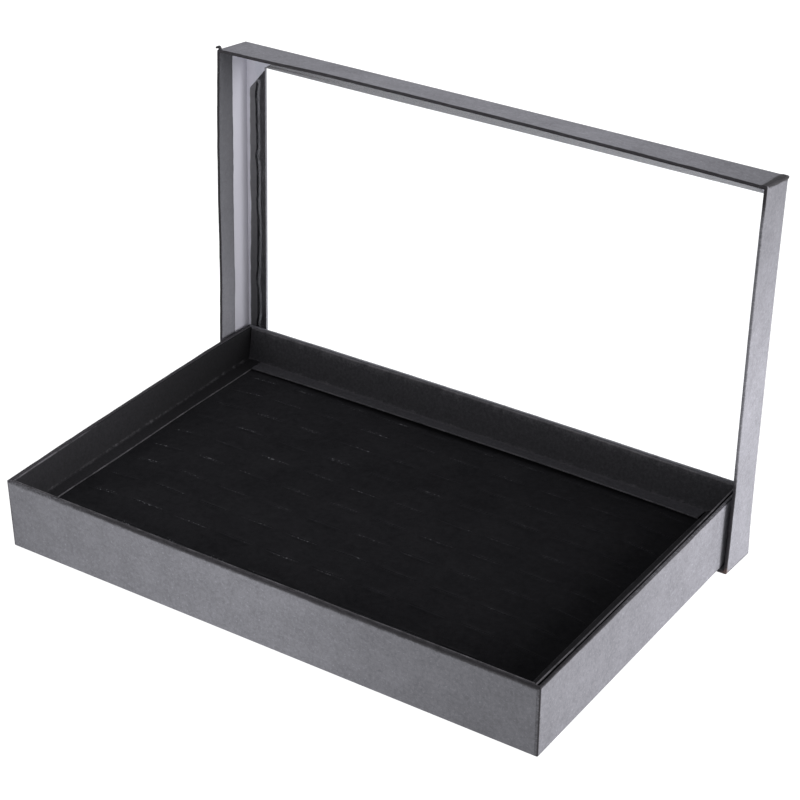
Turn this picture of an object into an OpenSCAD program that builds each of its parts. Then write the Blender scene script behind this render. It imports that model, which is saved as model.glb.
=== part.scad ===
// Ring display box: a shallow covered-board tray with a slit foam ring insert,
// and a lift-off lid with a clear window. The lid stands on one long wall and
// the back end of the tray is tucked into the lid's open side.

/* [Tray] */
// Outside length of the tray, left to right
tray_l = 235; // [180:1:300]
// Outside width of the tray, front to back
tray_w = 155; // [120:1:200]
// Outside height of the tray
tray_h = 29; // [26:0.5:40]
// How far the covering paper is turned down inside the rim
tray_turn_in = 12; // [8:0.5:12]

/* [Lid] */
// Running clearance between tray and lid on each side
lid_gap = 1.2; // [0.2:0.1:1.6]
// Depth of the lid, rim to window face
lid_d = 19; // [16:0.5:24]
// Frame width round the window, from the lid's outside edge
window_border = 10; // [10:0.5:20]
// Frame width at the right, where the window was cut nearer the edge
window_border_right = 7.5; // [7:0.5:20]
// How far the covering paper is turned in behind the lid's rim
lid_turn_in = 7; // [5:0.5:9]
// How high the sprung lower wall of the lid carries the back end of the tray
tray_lift = 2.4; // [2.2:0.1:4]
// How far the film overlaps the frame round the window
film_lap = 4.5; // [3:0.5:5]

/* [Board and paper] */
// Thickness of the grey board
board_t = 0.9; // [0.8:0.1:1.5]
// Thickness of the covering paper with its glue
paper_t = 0.2; // [0.15:0.05:0.25]
// Thickness of the white lining paper
lining_t = 0.15; // [0.1:0.05:0.2]
// Thickness of the window film
film_t = 0.25; // [0.15:0.05:0.3]
// Thickness of the corner tape
stay_t = 0.12; // [0.1:0.02:0.14]

/* [Ring insert] */
// Number of slits along one row
slit_cols = 10; // [6:1:12]
// Number of rows, front to back
slit_rows = 10; // [6:1:11]
// Pitch of the slits along a row
slit_pitch_x = 21.3; // [17:0.1:22]
// Pitch of the rows
slit_pitch_y = 13.35; // [11:0.05:14]
// Length of one slit
slit_l = 16; // [12:0.5:16]
// Width of one slit
slit_w = 0.8; // [0.6:0.1:1.2]
// Depth of the slit in the foam
slit_d = 9; // [6:0.5:9.5]
// Height of the insert's face above the table side of the tray
insert_top = 14.8; // [13.8:0.1:16]
// Thickness of the flocked sheet
velvet_t = 0.6; // [0.4:0.1:1]
// Thickness of the card under the foam
card_t = 1.2; // [0.8:0.1:2]

/* [Liner strips] */
// Thickness of the black liner card
liner_t = 0.8; // [0.6:0.1:1]
// Width of the flange that lies on the insert
flange_w = 7; // [6:0.5:9]
// Top of the liner below the rim
liner_drop = 0.4; // [0.2:0.1:2]

/* [Hidden] */

skin = board_t + 2 * paper_t;            // finished wall thickness at a rim
lid_l = tray_l + 2 * (skin + lid_gap);   // outside length of the lid
lid_h = tray_w + 2 * (skin + lid_gap);   // outside width of the lid, upright here
film_y = lid_d - paper_t - board_t - lining_t - paper_t - film_t; // film's inner face
nest = film_y - 0.2;                     // how far the tray reaches into the lid
tilt = atan(tray_lift / (tray_w - nest));     // the tray's back end is raised this much
tray_y = -(tray_w * cos(tilt) - nest + lid_d - tray_h * sin(tilt)) / 2;
lid_y = tray_y + tray_w * cos(tilt) - nest;
stay_w = 10;                             // leg of a corner tape
eps = 0.05;                              // hand clearance between loose pieces
// offsets of the liner's inner face from the tray's outside: [top, foot]
function off(top, foot) = [skin + liner_t + top, skin + liner_t + foot];
off_left = off(0.2, 0.5);
off_right = off(0.8, 1.1);
off_front = off(0.3, 0.5);
off_back = off(0.3, 3.2);

module in_tray() translate([0, tray_y, 0]) rotate([tilt, 0, 0]) children();
// lid coordinates: x centred, y from the rim, z from the wall it stands on
module in_lid() translate([0, lid_y, 0]) children();

// block between two corners
module block(a, b) translate(a) cube([b[0] - a[0], b[1] - a[1], b[2] - a[2]]);

// ---- tray boards ----------------------------------------------------------
tx = tray_l / 2 - paper_t;   // board outline in x
ty0 = paper_t;               // board outline in y
ty1 = tray_w - paper_t;
tz0 = paper_t + board_t;     // top of the floor board
tz1 = tray_h - paper_t;      // top of the wall boards

module tray_floor_board() color([0.55, 0.52, 0.47]) in_tray()
    block([-tx, ty0, paper_t], [tx, ty1, tz0]);
module tray_front_board() color([0.55, 0.52, 0.47]) in_tray()
    block([-tx, ty0, tz0], [tx, ty0 + board_t, tz1]);
module tray_back_board() color([0.55, 0.52, 0.47]) in_tray()
    block([-tx, ty1 - board_t, tz0], [tx, ty1, tz1]);
module tray_left_board() color([0.55, 0.52, 0.47]) in_tray()
    block([-tx, ty0 + board_t, tz0], [-tx + board_t, ty1 - board_t, tz1]);
module tray_right_board() color([0.55, 0.52, 0.47]) in_tray()
    block([tx - board_t, ty0 + board_t, tz0], [tx, ty1 - board_t, tz1]);

// one L-shaped tape in an inside corner, at the origin, legs along +x and +y
module stay(h) {
    block([0, 0, 0], [stay_w, stay_t, h]);
    block([0, 0, 0], [stay_t, stay_w, h]);
}
module tray_corner_stays() color([0.72, 0.66, 0.52]) in_tray()
    translate([0, tray_w / 2, tz0]) for (sx = [-1, 1], sy = [-1, 1])
        translate([sx * (tx - board_t), sy * (tray_w / 2 - paper_t - board_t), 0])
        rotate([0, 0, sx < 0 ? (sy < 0 ? 0 : -90) : (sy < 0 ? 90 : 180)])
        stay(tray_h - tray_turn_in - tz0 - 0.3);

// covering paper of the tray: underside, four sides, over the rim and down inside
module tray_wrap() color([0.16, 0.16, 0.18]) in_tray() {
    difference() {
        block([-tray_l / 2, 0, 0], [tray_l / 2, tray_w, tray_h]);
        block([-tx, ty0, paper_t], [tx, ty1, tray_h + 1]);
    }
    // over the rim
    difference() {
        block([-tray_l / 2, 0, tz1], [tray_l / 2, tray_w, tray_h]);
        block([-tray_l / 2 + skin, skin, tz1 - 1], [tray_l / 2 - skin, tray_w - skin, tray_h + 1]);
    }
    // down inside
    difference() {
        block([-tx + board_t, ty0 + board_t, tray_h - tray_turn_in], [tx - board_t, ty1 - board_t, tray_h]);
        block([-tray_l / 2 + skin, skin, 0], [tray_l / 2 - skin, tray_w - skin, tray_h + 1]);
    }
}

// ---- ring insert ----------------------------------------------------------
ix = tray_l / 2 - skin - 0.15;   // insert outline
iy0 = skin + 0.15;
iy1 = tray_w - skin - 0.15;
foam_z0 = tz0 + card_t;
foam_z1 = insert_top - velvet_t;

module slits(z0, z1)
    for (i = [0 : slit_cols - 1], j = [0 : slit_rows - 1])
        translate([(i - (slit_cols - 1) / 2) * slit_pitch_x - slit_l / 2,
                   tray_w / 2 + (j - (slit_rows - 1) / 2) * slit_pitch_y - slit_w / 2, z0])
            cube([slit_l, slit_w, z1 - z0]);

module insert_card() color([0.45, 0.42, 0.38]) in_tray()
    block([-ix, iy0, tz0], [ix, iy1, foam_z0]);
module insert_foam() color([0.12, 0.12, 0.13]) in_tray() difference() {
    block([-ix, iy0, foam_z0], [ix, iy1, foam_z1]);
    slits(foam_z1 - slit_d, foam_z1 + 1);
}
module insert_velvet() color([0.05, 0.05, 0.055]) in_tray() difference() {
    block([-ix, iy0, foam_z1], [ix, iy1, insert_top]);
    slits(foam_z1 - 1, insert_top + 1);
}

// ---- liner strips: black card folded to an L ------------------------------
liner_z1 = tray_h - liner_drop;

// section of the upright leaf, d measured inwards from the tray's outside
module leaf_section(off)
    polygon([[off[1] - liner_t, insert_top], [off[1], insert_top],
             [off[0], liner_z1], [off[0] - liner_t, liner_z1]]);

// left and right strips run the whole inside width
module side_strip(off) {
    y0 = skin + eps;
    y1 = tray_w - skin - eps;
    translate([-tray_l / 2, y1, 0]) rotate([90, 0, 0]) linear_extrude(height = y1 - y0) leaf_section(off);
    block([-tray_l / 2 + off[1] - liner_t / 2, off_front[1] + eps, insert_top],
          [-tray_l / 2 + off[1] + flange_w, tray_w - off_back[1] - eps, insert_top + liner_t]);
}
// front and back strips stand between the side leaves
module end_strip(off) {
    x0 = -tray_l / 2 + max(off_left[0], off_left[1]) + eps;
    x1 = tray_l / 2 - max(off_right[0], off_right[1]) - eps;
    translate([x0, 0, 0]) rotate([90, 0, 90]) linear_extrude(height = x1 - x0) leaf_section(off);
    block([-tray_l / 2 + off_left[1] + flange_w + eps, off[1] - liner_t / 2, insert_top],
          [tray_l / 2 - off_right[1] - flange_w - eps, off[1] + flange_w, insert_top + liner_t]);
}
module liner_left_strip() color([0.09, 0.09, 0.1]) in_tray() side_strip(off_left);
module liner_right_strip() color([0.09, 0.09, 0.1]) in_tray() mirror([1, 0, 0]) side_strip(off_right);
module liner_front_strip() color([0.09, 0.09, 0.1]) in_tray() end_strip(off_front);
module liner_back_strip() color([0.09, 0.09, 0.1]) in_tray()
    translate([0, tray_w, 0]) mirror([0, 1, 0]) end_strip(off_back);

// ---- lid boards -----------------------------------------------------------
lx = lid_l / 2 - paper_t;
ly0 = paper_t;                        // rim end of the wall boards
ly1 = lid_d - paper_t - board_t;      // inner face of the window board
lz0 = paper_t;
lz1 = lid_h - paper_t;
win_l = lid_l / 2 - window_border;         // window's left edge from the middle
win_r = lid_l / 2 - window_border_right;   // and its right edge
win_z0 = window_border;
win_z1 = lid_h - window_border;

// recess pressed into the boards by the corner tape, and the tape itself
module hole(y0, y1, g) block([-win_l + g, y0, win_z0 + g], [win_r - g, y1, win_z1 - g]);

module lid_stays(grow) translate([0, 0, lid_h / 2]) for (sx = [-1, 1], sz = [-1, 1])
    translate([sx * lx, 0.6, sz * (lid_h / 2 - paper_t)])
    mirror([sx > 0 ? 1 : 0, 0, 0]) mirror([0, 0, sz > 0 ? 1 : 0]) {
        block([-grow, 0, -grow], [stay_w, ly1 - 0.8, stay_t]);
        block([-grow, 0, -grow], [stay_t, ly1 - 0.8, stay_w]);
    }

module lid_window_board() color([0.55, 0.52, 0.47]) in_lid() difference() {
    block([-lx, ly1, lz0], [lx, ly1 + board_t, lz1]);
    hole(ly1 - 1, lid_d + 1, 0);
}
module lid_top_board() color([0.55, 0.52, 0.47]) in_lid() difference() {
    block([-lx, ly0, lz1 - board_t], [lx, ly1, lz1]);
    lid_stays(1);
}
module lid_bottom_board() color([0.55, 0.52, 0.47]) in_lid() difference() {
    block([-lx, ly0, lz0], [lx, ly1, lz0 + board_t]);
    lid_stays(1);
}
module lid_left_board() color([0.55, 0.52, 0.47]) in_lid() difference() {
    block([-lx, ly0, lz0 + board_t], [-lx + board_t, ly1, lz1 - board_t]);
    lid_stays(1);
}
module lid_right_board() color([0.55, 0.52, 0.47]) in_lid() difference() {
    block([lx - board_t, ly0, lz0 + board_t], [lx, ly1, lz1 - board_t]);
    lid_stays(1);
}
module lid_corner_stays() color([0.72, 0.66, 0.52]) in_lid() lid_stays(0);

// a frame lying across y: outer and inner half width and the two heights
module ring(y0, y1, xo, zo0, zo1, xi, zi0, zi1) difference() {
    block([-xo, y0, zo0], [xo, y1, zo1]);
    block([-xi, y0 - 1, zi0], [xi, y1 + 1, zi1]);
}
// one turned-in flap of the window, mitred at both ends, along +x, growing to +z
flap_cut = 2.85;   // the flaps stop this far short of the lid's outside edge
module flap(half, w) rotate([90, 0, 0]) translate([0, 0, -paper_t]) linear_extrude(height = paper_t)
    polygon([[-half, 0], [half, 0], [half - w, w], [-half + w, w]]);

// covering paper of the lid: window face, four sides, rim, turn-in and window flaps
module lid_wrap() color([0.19, 0.19, 0.21]) in_lid() {
    // window face and sides
    difference() {
        block([-lid_l / 2, 0, 0], [lid_l / 2, lid_d, lid_h]);
        block([-lx, -1, lz0], [lx, lid_d - paper_t, lz1]);
        hole(0, lid_d + 1, paper_t);
    }
    // over the rim
    ring(0, paper_t, lid_l / 2, 0, lid_h, lid_l / 2 - skin, skin, lid_h - skin);
    // turned in behind the rim
    ring(0, lid_turn_in, lx - board_t, lz0 + board_t, lz1 - board_t, lid_l / 2 - skin, skin, lid_h - skin);
    // through the window
    difference() {
        hole(ly1 - lining_t - paper_t, lid_d, 0);
        hole(ly1 - 1, lid_d + 1, paper_t);
    }
    // flaps on the inside
    translate([0, ly1 - lining_t - paper_t, 0]) {
        translate([(win_r - win_l) / 2, 0, win_z1]) flap((win_l + win_r) / 2, window_border - flap_cut);
        translate([(win_r - win_l) / 2, 0, win_z0]) mirror([0, 0, 1]) flap((win_l + win_r) / 2, window_border - flap_cut);
        translate([win_r, 0, lid_h / 2]) rotate([0, 90, 0]) flap((win_z1 - win_z0) / 2, window_border_right - flap_cut);
        translate([-win_l, 0, lid_h / 2]) rotate([0, -90, 0]) flap((win_z1 - win_z0) / 2, window_border - flap_cut);
    }
}

// white lining paper: on the four walls, and on the inside of the window board
module lid_wall_lining() color([0.9, 0.9, 0.92]) in_lid()
    ring(lid_turn_in, ly1 - lining_t, lx - board_t, lz0 + board_t, lz1 - board_t,
         lx - board_t - lining_t, lz0 + board_t + lining_t, lz1 - board_t - lining_t);
module lid_face_lining() color([0.9, 0.9, 0.92]) in_lid() difference() {
    block([-lx + board_t, ly1 - lining_t, lz0 + board_t], [lx - board_t, ly1, lz1 - board_t]);
    hole(ly1 - 1, ly1 + 1, 0);
}

// clear film behind the window
module window_film() color([0.85, 0.9, 0.92, 0.3]) in_lid()
    block([-win_l - film_lap, film_y, win_z0 - film_lap], [win_r + film_lap, film_y + film_t, win_z1 + film_lap]);

tray_floor_board();
tray_front_board();
tray_back_board();
tray_left_board();
tray_right_board();
tray_corner_stays();
tray_wrap();
insert_card();
insert_foam();
insert_velvet();
liner_front_strip();
liner_back_strip();
liner_left_strip();
liner_right_strip();
lid_window_board();
lid_top_board();
lid_bottom_board();
lid_left_board();
lid_right_board();
lid_corner_stays();
lid_wrap();
lid_wall_lining();
lid_face_lining();
window_film();
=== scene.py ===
import math
import bpy
import numpy as np
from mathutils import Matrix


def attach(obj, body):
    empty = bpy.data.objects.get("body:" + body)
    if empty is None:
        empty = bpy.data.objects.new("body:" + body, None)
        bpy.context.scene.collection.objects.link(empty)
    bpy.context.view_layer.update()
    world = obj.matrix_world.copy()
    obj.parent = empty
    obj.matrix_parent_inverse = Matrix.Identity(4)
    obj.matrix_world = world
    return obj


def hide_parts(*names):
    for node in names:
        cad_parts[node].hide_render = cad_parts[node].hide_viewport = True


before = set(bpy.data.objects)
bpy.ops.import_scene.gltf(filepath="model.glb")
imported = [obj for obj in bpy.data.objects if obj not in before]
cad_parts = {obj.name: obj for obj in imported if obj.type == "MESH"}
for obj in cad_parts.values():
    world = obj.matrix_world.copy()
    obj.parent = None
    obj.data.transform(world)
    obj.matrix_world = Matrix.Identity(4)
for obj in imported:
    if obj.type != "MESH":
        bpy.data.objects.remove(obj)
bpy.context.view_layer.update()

rng = np.random.default_rng(4711)

# ---------------------------------------------------------------- the frame's numbers (mm)
TL, TW, TH = 235.0, 155.0, 29.0          # tray outside
LL, LH, LD = 240.0, 160.0, 19.0          # lid outside
BOARD, PAPER, LINING, FILM = 0.9, 0.2, 0.15, 0.25
SKIN = BOARD + 2 * PAPER
TURN = 8.6                               # how deep the lid's paper is turned in
NEST = 17.1                              # how far the tray's end stands in the lid
TILT = math.atan(2.4 / (TW - NEST))
CT, ST = math.cos(TILT), math.sin(TILT)
TRAY_Y = -(TW * CT - NEST + LD - TH * ST) / 2
LID_Y = TRAY_Y + TW * CT - NEST


# ---------------------------------------------------------------- smooth seeded noise
_grids = {}


def _hash_grid(n, seed):
    if (n, seed) not in _grids:
        _grids[n, seed] = np.random.default_rng(seed).uniform(-1, 1, n)
    return _grids[n, seed]


def noise1(t, seed, period=1.0):
    """Smooth value noise along one coordinate, about -1 to 1."""
    t = np.asarray(t, float) / period + 517.3
    i = np.floor(t).astype(int)
    f = t - i
    f = f * f * (3 - 2 * f)
    g = _hash_grid(4096, seed)
    return g[i % 4096] * (1 - f) + g[(i + 1) % 4096] * f


def noise2(a, b, seed, period=1.0):
    a = np.asarray(a, float) / period + 311.7
    b = np.asarray(b, float) / period + 207.9
    ia, ib = np.floor(a).astype(int), np.floor(b).astype(int)
    fa, fb = a - ia, b - ib
    fa, fb = fa * fa * (3 - 2 * fa), fb * fb * (3 - 2 * fb)
    g = _hash_grid(512 * 512, seed).reshape(512, 512)
    v = lambda x, y: g[x % 512, y % 512]
    return (v(ia, ib) * (1 - fa) + v(ia + 1, ib) * fa) * (1 - fb) + (v(ia, ib + 1) * (1 - fa) + v(ia + 1, ib + 1) * fa) * fb


def smooth(x, a, b):
    t = np.clip((np.asarray(x, float) - a) / (b - a), 0, 1)
    return t * t * (3 - 2 * t)


def curve(t, xs, ys):
    """A smooth curve through a few points."""
    xs, ys = np.asarray(xs, float), np.asarray(ys, float)
    m = np.gradient(ys, xs)
    t = np.clip(np.asarray(t, float), xs[0], xs[-1])
    i = np.clip(np.searchsorted(xs, t, side="right") - 1, 0, len(xs) - 2)
    h = xs[i + 1] - xs[i]
    u = (t - xs[i]) / h
    return ((1 + 2 * u) * (1 - u) ** 2 * ys[i] + u * (1 - u) ** 2 * h * m[i]
            + u * u * (3 - 2 * u) * ys[i + 1] + u * u * (u - 1) * h * m[i + 1])


# ---------------------------------------------------------------- how the real card box has bent
def bend_tray(P):
    """The walls bow between their corners, more towards the rim; the left one also leans out."""
    P = np.array(P, float)
    x, y, z = P[:, 0], P[:, 1], P[:, 2]
    k = np.clip(z / TH, 0, 1.05) ** 1.4
    ux = np.clip(1 - (x / (TL / 2)) ** 2, 0, 1)
    uy = np.clip(1 - ((y - TW / 2) / (TW / 2)) ** 2, 0, 1)
    near_f = smooth(y, 9, 1.5)
    near_b = smooth(TW - y, 9, 1.5)
    near_l = smooth(x + TL / 2, 9, 1.5)
    near_r = smooth(TL / 2 - x, 9, 1.5)
    left = curve(y, (0, 15, 35, 60, 110, 135, 155), (0.15, 0.45, 0.8, 1.0, 1.15, 1.0, 0.1))
    out = P.copy()
    out[:, 1] += k * ux * (near_b * 0.30 - near_f * 0.12)
    out[:, 0] += k * (uy * near_r * 0.12 - near_l * left)
    out[:, 0] += 0.9 * np.clip(1 - z / TH, 0, 1) * near_l
    out[:, 2] += k * ux * near_b * 0.45
    return out


def bend_lid(P):
    """The lid's walls spring open towards the rim and the whole frame has gone a little askew."""
    P = np.array(P, float)
    x, y, z = P[:, 0], P[:, 1], P[:, 2]
    f = 1 - y / LD
    out = P.copy()
    # the upper wall: risen at the rim, dropped at the fold, the window's edge in between
    t = smooth(z, 150.5, 158.6)
    bow = np.clip(1 - (x / 120.0) ** 2, 0, 1)
    rim = 1.4 + 0.85 * bow + 0.15 * (x / 120 - x * x / 14400) - 0.42 * smooth(-x, 70, 100) - 0.25 * smooth(-x, 114, 120)
    back = curve(x, (-120, -60, 0, 50, 120), (-1.45, -1.2, -0.97, -0.85, -0.8))
    win = curve(x, (-110, -45, 0, 50, 110), (-0.2, 0.0, 0.33, 0.52, 0.7)) * smooth(z, 30, 150)
    out[:, 2] += win * (1 - t) + t * (rim * f + back * (1 - f))
    # the lower wall's right end doesn't lie flat
    out[:, 2] += 0.5 * smooth(x, 30, 120) * smooth(-z, -14, 0)
    # side walls
    rr = curve(z, (0, 15, 30, 60, 110, 140, 160), (0.40, 0.70, 0.85, 0.72, 0.66, 0.80, 1.0))
    rb = curve(z, (0, 5, 15, 30, 60, 110, 135, 160), (0.92, 0.77, 0.52, 0.37, 0.30, 0.32, 0.47, 0.69))
    lr = curve(z, (0, 29, 45, 64, 107, 128, 149, 160), (-1.7, -1.3, -0.88, -0.6, -0.52, -0.2, 0.38, 0.75))
    lb = curve(z, (0, 80, 160), (-0.5, 0.3, 0.95))
    w = np.clip((x + 120) / 240, 0, 1)
    out[:, 0] += (1 - w) * (lr * f + lb * (1 - f)) + w * (rr * f + rb * (1 - f))
    return out


def win_x(x):
    """The window is cut off centre: its right border is narrower."""
    return np.interp(x, (-120, -118.5, -110, 110, 118.7, 120), (-120, -118.5, -109.4, 112.5, 118.7, 120))


def tray_place(P):
    P = bend_tray(P)
    x, y, z = P[:, 0], P[:, 1], P[:, 2]
    return np.stack([x, TRAY_Y + y * CT - z * ST, y * ST + z * CT], 1) / 1000.0


def lid_place(P):
    P = bend_lid(P)
    return (P + np.array([0, LID_Y, 0])) / 1000.0


# ---------------------------------------------------------------- mesh helpers
class Build:
    """Collects points in a body's own millimetres, faces and per-point values."""

    def __init__(self):
        self.v, self.f, self.a = [], [], {}
        self.n = 0

    def add(self, pts, **attrs):
        pts = np.asarray(pts, float).reshape(-1, 3)
        start = self.n
        self.v.append(pts)
        self.n += len(pts)
        for k in set(self.a) | set(attrs):
            self.a.setdefault(k, [np.zeros(start)] if start else [])
            val = attrs.get(k, 0.0)
            self.a[k].append(np.broadcast_to(np.asarray(val, float), (len(pts),)).copy())
        return np.arange(start, self.n)

    def quads(self, G, close_u=False, close_v=False, flip=False):
        """G is a grid of point numbers; makes a quad between each four."""
        G = np.asarray(G)
        if close_u:
            G = np.concatenate([G, G[:1]], 0)
        if close_v:
            G = np.concatenate([G, G[:, :1]], 1)
        a, b, c, d = G[:-1, :-1], G[1:, :-1], G[1:, 1:], G[:-1, 1:]
        q = np.stack([a, b, c, d], -1).reshape(-1, 4)
        if flip:
            q = q[:, ::-1]
        self.f += [tuple(int(i) for i in r) for r in q]

    def face(self, ids, flip=False):
        ids = [int(i) for i in ids]
        self.f.append(tuple(ids[::-1] if flip else ids))

    def object(self, name, place, smooth_angle=35, recalc=True, bevel=0):
        V = np.concatenate(self.v)
        W = place(V)
        me = bpy.data.meshes.new(name)
        me.from_pydata([tuple(p) for p in W], [], self.f)
        for k, parts in self.a.items():
            at = me.attributes.new(k, "FLOAT", "POINT")
            at.data.foreach_set("value", np.concatenate(parts).astype(np.float32))
        lo = me.attributes.new("loc", "FLOAT_VECTOR", "POINT")
        lo.data.foreach_set("vector", (V / 1000.0).astype(np.float32).ravel())
        me.validate(clean_customdata=False)
        me.update()
        ob = bpy.data.objects.new(name, me)
        bpy.context.scene.collection.objects.link(ob)
        if recalc:
            import bmesh
            bm = bmesh.new()
            bm.from_mesh(me)
            bmesh.ops.recalc_face_normals(bm, faces=bm.faces)
            bm.to_mesh(me)
            bm.free()
        me.shade_smooth()
        if smooth_angle:
            me.set_sharp_from_angle(angle=math.radians(smooth_angle))
        return ob


def grid_box(b, lo, hi, n=(1, 1, 1), **attrs):
    """A closed box with a grid on each side, sharing its edge points."""
    xs, ys, zs = [np.linspace(lo[i], hi[i], n[i] + 1) for i in range(3)]
    ids = {}

    def vid(i, j, k):
        key = (i, j, k)
        if key not in ids:
            ids[key] = int(b.add([[xs[i], ys[j], zs[k]]], **attrs)[0])
        return ids[key]
    nx, ny, nz = n
    for k, fl in ((0, True), (nz, False)):
        b.quads([[vid(i, j, k) for j in range(ny + 1)] for i in range(nx + 1)], flip=fl)
    for j, fl in ((0, False), (ny, True)):
        b.quads([[vid(i, j, k) for k in range(nz + 1)] for i in range(nx + 1)], flip=fl)
    for i, fl in ((0, True), (nx, False)):
        b.quads([[vid(i, j, k) for k in range(nz + 1)] for j in range(ny + 1)], flip=fl)


def arc(cx, cy, r, a0, a1, n):
    t = np.radians(np.linspace(a0, a1, n + 1))
    return [(cx + r * math.cos(u), cy + r * math.sin(u)) for u in t]


def side_fractions(n, cluster=0.25):
    """Places along a side, closer together near its ends."""
    t = np.linspace(0, 1, n + 1)
    return t - cluster * np.sin(2 * np.pi * t) / (2 * np.pi)


class Loop:
    """A closed rounded rectangle in plan with a fixed count of points, inset by d."""

    def __init__(self, x0, x1, y0, y1, nx, ny, k=4, radius=0.6, extra_x=(), extra_y=()):
        self.box = (x0, x1, y0, y1)
        self.k, self.r = k, radius
        tx, ty = side_fractions(nx), side_fractions(ny)
        tx = np.unique(np.concatenate([tx, extra_x])) if len(extra_x) else tx
        ty = np.unique(np.concatenate([ty, extra_y])) if len(extra_y) else ty
        self.tx, self.ty = tx, ty
        self.count = 2 * (len(tx) + len(ty)) + 4 * (k - 1)

    def points(self, d):
        x0, x1, y0, y1 = self.box
        x0, x1, y0, y1 = x0 + d, x1 - d, y0 + d, y1 - d
        r = max(self.r - d, 0.04)
        out = []
        X = x0 + r + (x1 - x0 - 2 * r) * self.tx
        Y = y0 + r + (y1 - y0 - 2 * r) * self.ty
        k = self.k
        out += [(x, y0) for x in X]
        out += arc(x1 - r, y0 + r, r, -90, 0, k)[1:-1]
        out += [(x1, y) for y in Y]
        out += arc(x1 - r, y1 - r, r, 0, 90, k)[1:-1]
        out += [(x, y1) for x in X[::-1]]
        out += arc(x0 + r, y1 - r, r, 90, 180, k)[1:-1]
        out += [(x0, y) for y in Y[::-1]]
        out += arc(x0 + r, y0 + r, r, 180, 270, k)[1:-1]
        return np.array(out)

    def cap(self, b, ids, flip=False):
        """Closes the loop of point numbers ids with quads across, and a face at each end."""
        nx, ny, k = len(self.tx), len(self.ty), self.k
        f = list(ids[:nx])
        r = list(ids[nx + k - 1:nx + k - 1 + ny])
        s = nx + k - 1 + ny + k - 1
        bk = list(ids[s:s + nx])[::-1]
        for i in range(nx - 1):
            b.face([f[i], f[i + 1], bk[i + 1], bk[i]], flip)
        right = [f[-1]] + list(ids[nx:s]) + [bk[-1]]
        b.face(right, flip)
        left = [bk[0]] + list(ids[s + nx:]) + [f[0]]
        b.face(left, flip)


# ---------------------------------------------------------------- covered-board shells
def shell(b, loop, outer, inner, place_d, uv=None, cap_outer=None, cap_inner=None):
    """Sweeps a profile of (inset, height) round the loop as a closed skin of paper.

    outer and inner are the profiles of the seen face and of the glued face; place_d turns an
    inset loop and a height into points, so the same code makes the tray and the lid.
    """
    rows_o, rows_i = [], []
    for (d, h, at) in outer:
        rows_o.append(b.add(place_d(loop, d, h), **at))
    for (d, h, at) in inner:
        rows_i.append(b.add(place_d(loop, d, h), **at))
    b.quads(rows_o, close_v=True)
    b.quads(rows_i[::-1], close_v=True)
    return rows_o, rows_i


def join_rows(b, r0, r1, flip=False):
    b.quads([r0, r1], close_v=True, flip=flip)


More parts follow.
